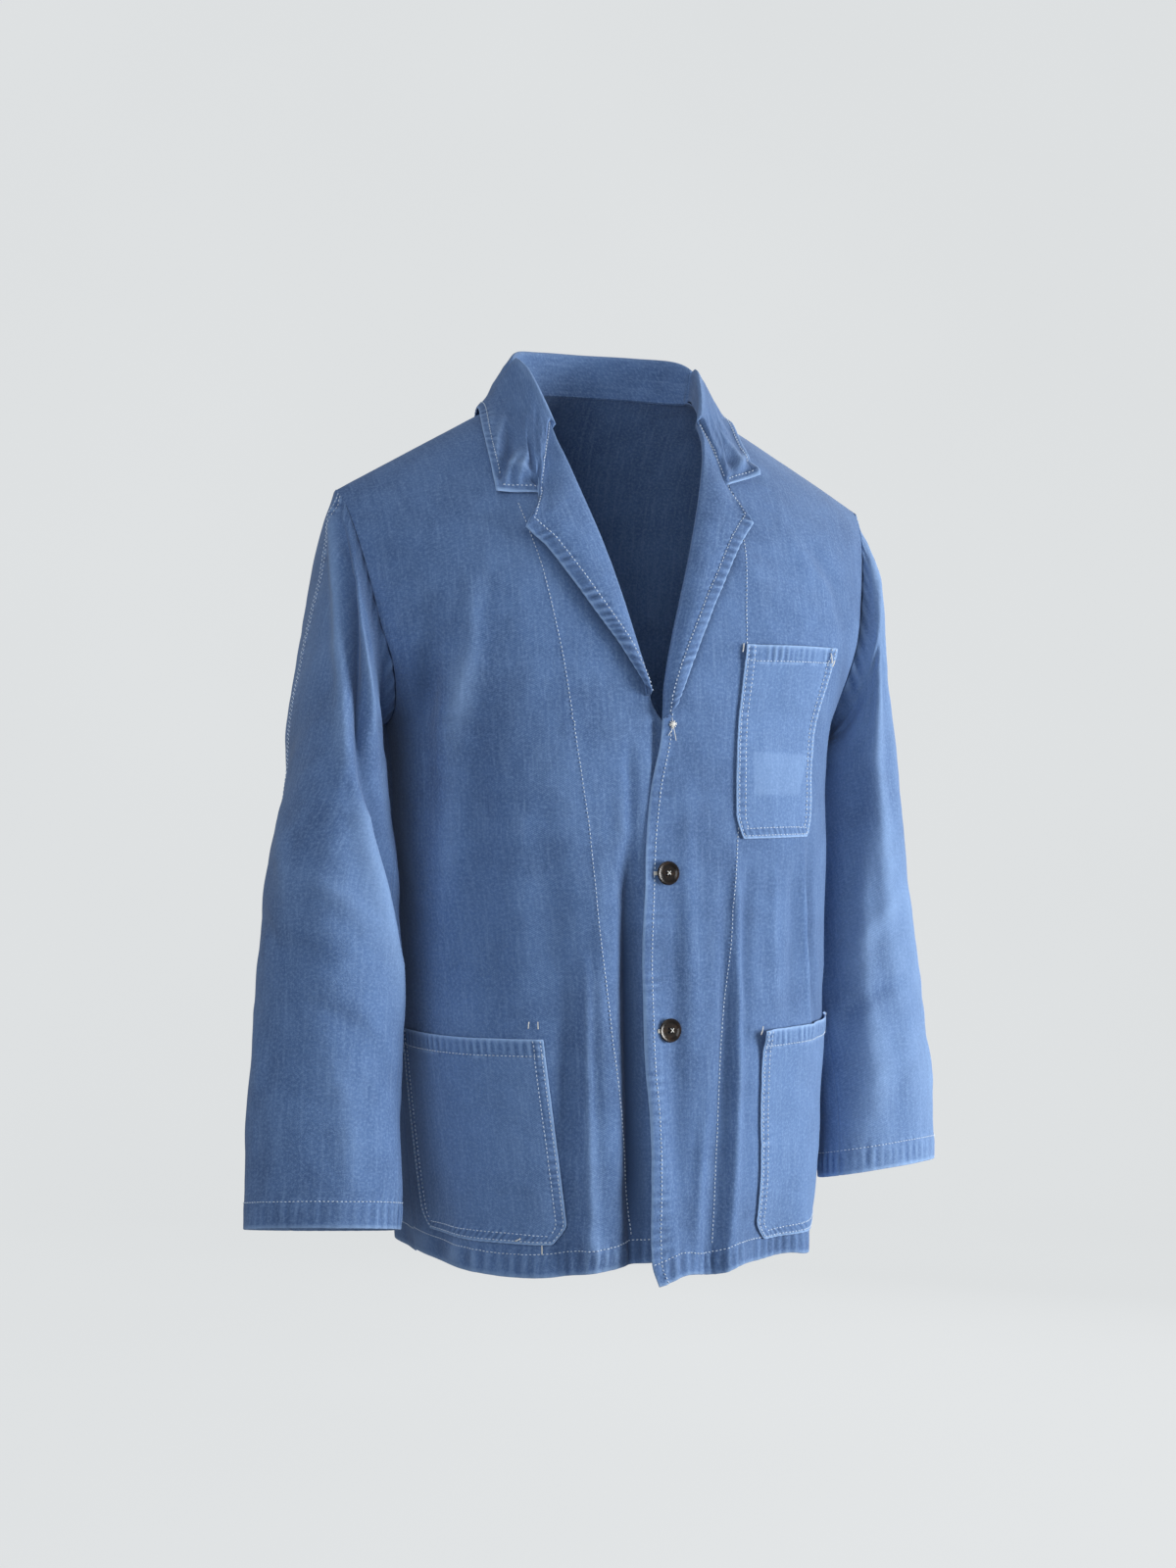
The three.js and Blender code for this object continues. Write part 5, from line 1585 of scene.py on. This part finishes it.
def make_backdrop():
    """A pale round floor that curves up into a round wall: a profile turned about the jacket's middle.

    It is only seen, and neither lights the cloth nor keeps the room's light from it."""
    bend = np.linspace(0, math.pi / 2, 12)
    flat = ROOM_RADIUS - ROOM_CORNER
    away = np.concatenate([[0.5, flat / 2], flat + ROOM_CORNER * np.sin(bend), [ROOM_RADIUS]])
    height = np.concatenate([[0, 0], ROOM_CORNER * (1 - np.cos(bend)), [ROOM_HEIGHT]]) + FLOOR_Z
    turn = np.arange(ROOM_SIDES) * 2 * math.pi / ROOM_SIDES
    ring = np.stack([np.cos(turn), np.sin(turn), 0 * turn], -1)
    points = ring[None] * away[:, None, None] + height[:, None, None] * np.array([0, 0, 1.0])
    k = np.arange(len(points) * ROOM_SIDES).reshape(-1, ROOM_SIDES)
    beside = np.roll(k, -1, 1)
    quads = np.stack([k[:-1], beside[:-1], beside[1:], k[1:]], -1).reshape(-1, 4)
    faces = [*quads.tolist(), k[0, ::-1].tolist()]
    thing = mesh_object("pale_backdrop", points.reshape(-1, 3), faces)
    thing.data.materials.append(backdrop_material(BACKDROP_COLOUR, BACKDROP_GLOW))
    thing.visible_diffuse = thing.visible_glossy = thing.visible_shadow = False


def make_stage():
    """Sets the backdrop, the lamps, the world and the camera."""
    turn = bpy.context.scene.jacket_sizes.camera_turn
    make_backdrop()
    back = np.array([math.sin(turn), -math.cos(turn), 0])
    right = np.array([math.cos(turn), math.sin(turn), 0])
    camera = bpy.data.objects.new("camera", bpy.data.cameras.new("camera"))
    bpy.context.collection.objects.link(camera)
    camera.location = Vector(back * CAMERA_DISTANCE + right * CAMERA_ASIDE + np.array([0, 0, CAMERA_HEIGHT]))
    camera.rotation_euler = (math.pi / 2, 0, turn)
    camera.data.lens = FOCAL_LENGTH
    camera.data.shift_y = SHIFT_Y
    bpy.context.scene.camera = camera
    for name, ((aside, near, high), size, power, colour) in LAMPS.items():
        place = right * aside + back * near + np.array([0, 0, high])
        area_light(name, tuple(place), size, power, colour)
    bpy.context.scene.view_settings.view_transform = "Standard"
    world = bpy.data.worlds.new("room")
    world.use_nodes = True
    world.node_tree.nodes["Background"].inputs[0].default_value = WORLD_COLOUR
    world.node_tree.nodes["Background"].inputs[1].default_value = WORLD_STRENGTH
    bpy.context.scene.world = world


class JacketPiece:
    """What every operator of the jacket shares."""

    bl_options = {"REGISTER", "UNDO"}


class JACKET_OT_body(JacketPiece, bpy.types.Operator):
    """Builds the back and the two fronts"""

    bl_idname = "jacket.body"
    bl_label = "Body"

    def execute(self, context):
        """Makes the three panels of the body."""
        make_back()
        make_front(RIGHT)
        make_front(LEFT)
        return {"FINISHED"}


class JACKET_OT_sleeves(JacketPiece, bpy.types.Operator):
    """Builds the top and under pieces of both sleeves"""

    bl_idname = "jacket.sleeves"
    bl_label = "Sleeves"

    def execute(self, context):
        """Makes the four sleeve pieces."""
        for side in (RIGHT, LEFT):
            make_sleeve(side, True)
            make_sleeve(side, False)
        return {"FINISHED"}


class JACKET_OT_collar(JacketPiece, bpy.types.Operator):
    """Builds the collar and the lapels"""

    bl_idname = "jacket.collar"
    bl_label = "Collar and lapels"

    def execute(self, context):
        """Makes the lapels, then the collar."""
        make_lapel(RIGHT)
        make_lapel(LEFT)
        make_collar()
        return {"FINISHED"}


class JACKET_OT_pockets(JacketPiece, bpy.types.Operator):
    """Builds the three patch pockets"""

    bl_idname = "jacket.pockets"
    bl_label = "Pockets"

    def execute(self, context):
        """Makes each pocket of the table."""
        for k, (name, spec) in enumerate(POCKETS.items()):
            make_pocket(name, spec, 131 + 10 * k)
        return {"FINISHED"}


class JACKET_OT_stitches(JacketPiece, bpy.types.Operator):
    """Sews the visible lines of stitches"""

    bl_idname = "jacket.stitches"
    bl_label = "Stitches"

    def execute(self, context):
        """Makes all rows of stitches."""
        make_stitches()
        return {"FINISHED"}


class JACKET_OT_buttons(JacketPiece, bpy.types.Operator):
    """Finishes the buttons, buttonholes and loose thread"""

    bl_idname = "jacket.buttons"
    bl_label = "Buttons"

    def execute(self, context):
        """Makes the small hard things and their threads."""
        make_buttons()
        return {"FINISHED"}


class JACKET_OT_stage(JacketPiece, bpy.types.Operator):
    """Sets up the backdrop, lamps and camera"""

    bl_idname = "jacket.stage"
    bl_label = "Stage"

    def execute(self, context):
        """Makes the stage."""
        make_stage()
        return {"FINISHED"}


class JACKET_PT_panel(bpy.types.Panel):
    """The jacket's sizes, colours and pieces in the sidebar"""

    bl_label = "Chore jacket"
    bl_idname = "JACKET_PT_panel"
    bl_space_type = "VIEW_3D"
    bl_region_type = "UI"
    bl_category = "Jacket"

    def draw(self, context):
        """Lists the properties and the operators."""
        for group in (context.scene.jacket_sizes, context.scene.jacket_colours):
            for name in group.__annotations__:
                self.layout.prop(group, name)
        for operator in OPERATORS:
            self.layout.operator(operator.bl_idname)


OPERATORS = (
    JACKET_OT_stage, JACKET_OT_body, JACKET_OT_sleeves, JACKET_OT_collar, JACKET_OT_pockets,
    JACKET_OT_stitches, JACKET_OT_buttons,
)
CLASSES = (JacketColours, JacketSizes, *OPERATORS, JACKET_PT_panel)


def register():
    """Registers the classes and hangs the properties on the scene."""
    for item in CLASSES:
        bpy.utils.register_class(item)
    bpy.types.Scene.jacket_colours = bpy.props.PointerProperty(type=JacketColours)
    bpy.types.Scene.jacket_sizes = bpy.props.PointerProperty(type=JacketSizes)


def unregister():
    """Takes the properties and the classes away again."""
    del bpy.types.Scene.jacket_sizes
    del bpy.types.Scene.jacket_colours
    for item in reversed(CLASSES):
        bpy.utils.unregister_class(item)


def main():
    """Builds the jacket and its stage."""
    register()
    bpy.ops.jacket.stage()
    bpy.ops.jacket.body()
    bpy.ops.jacket.sleeves()
    bpy.ops.jacket.collar()
    bpy.ops.jacket.pockets()
    bpy.ops.jacket.stitches()
    bpy.ops.jacket.buttons()


if __name__ == "__main__":
    main()
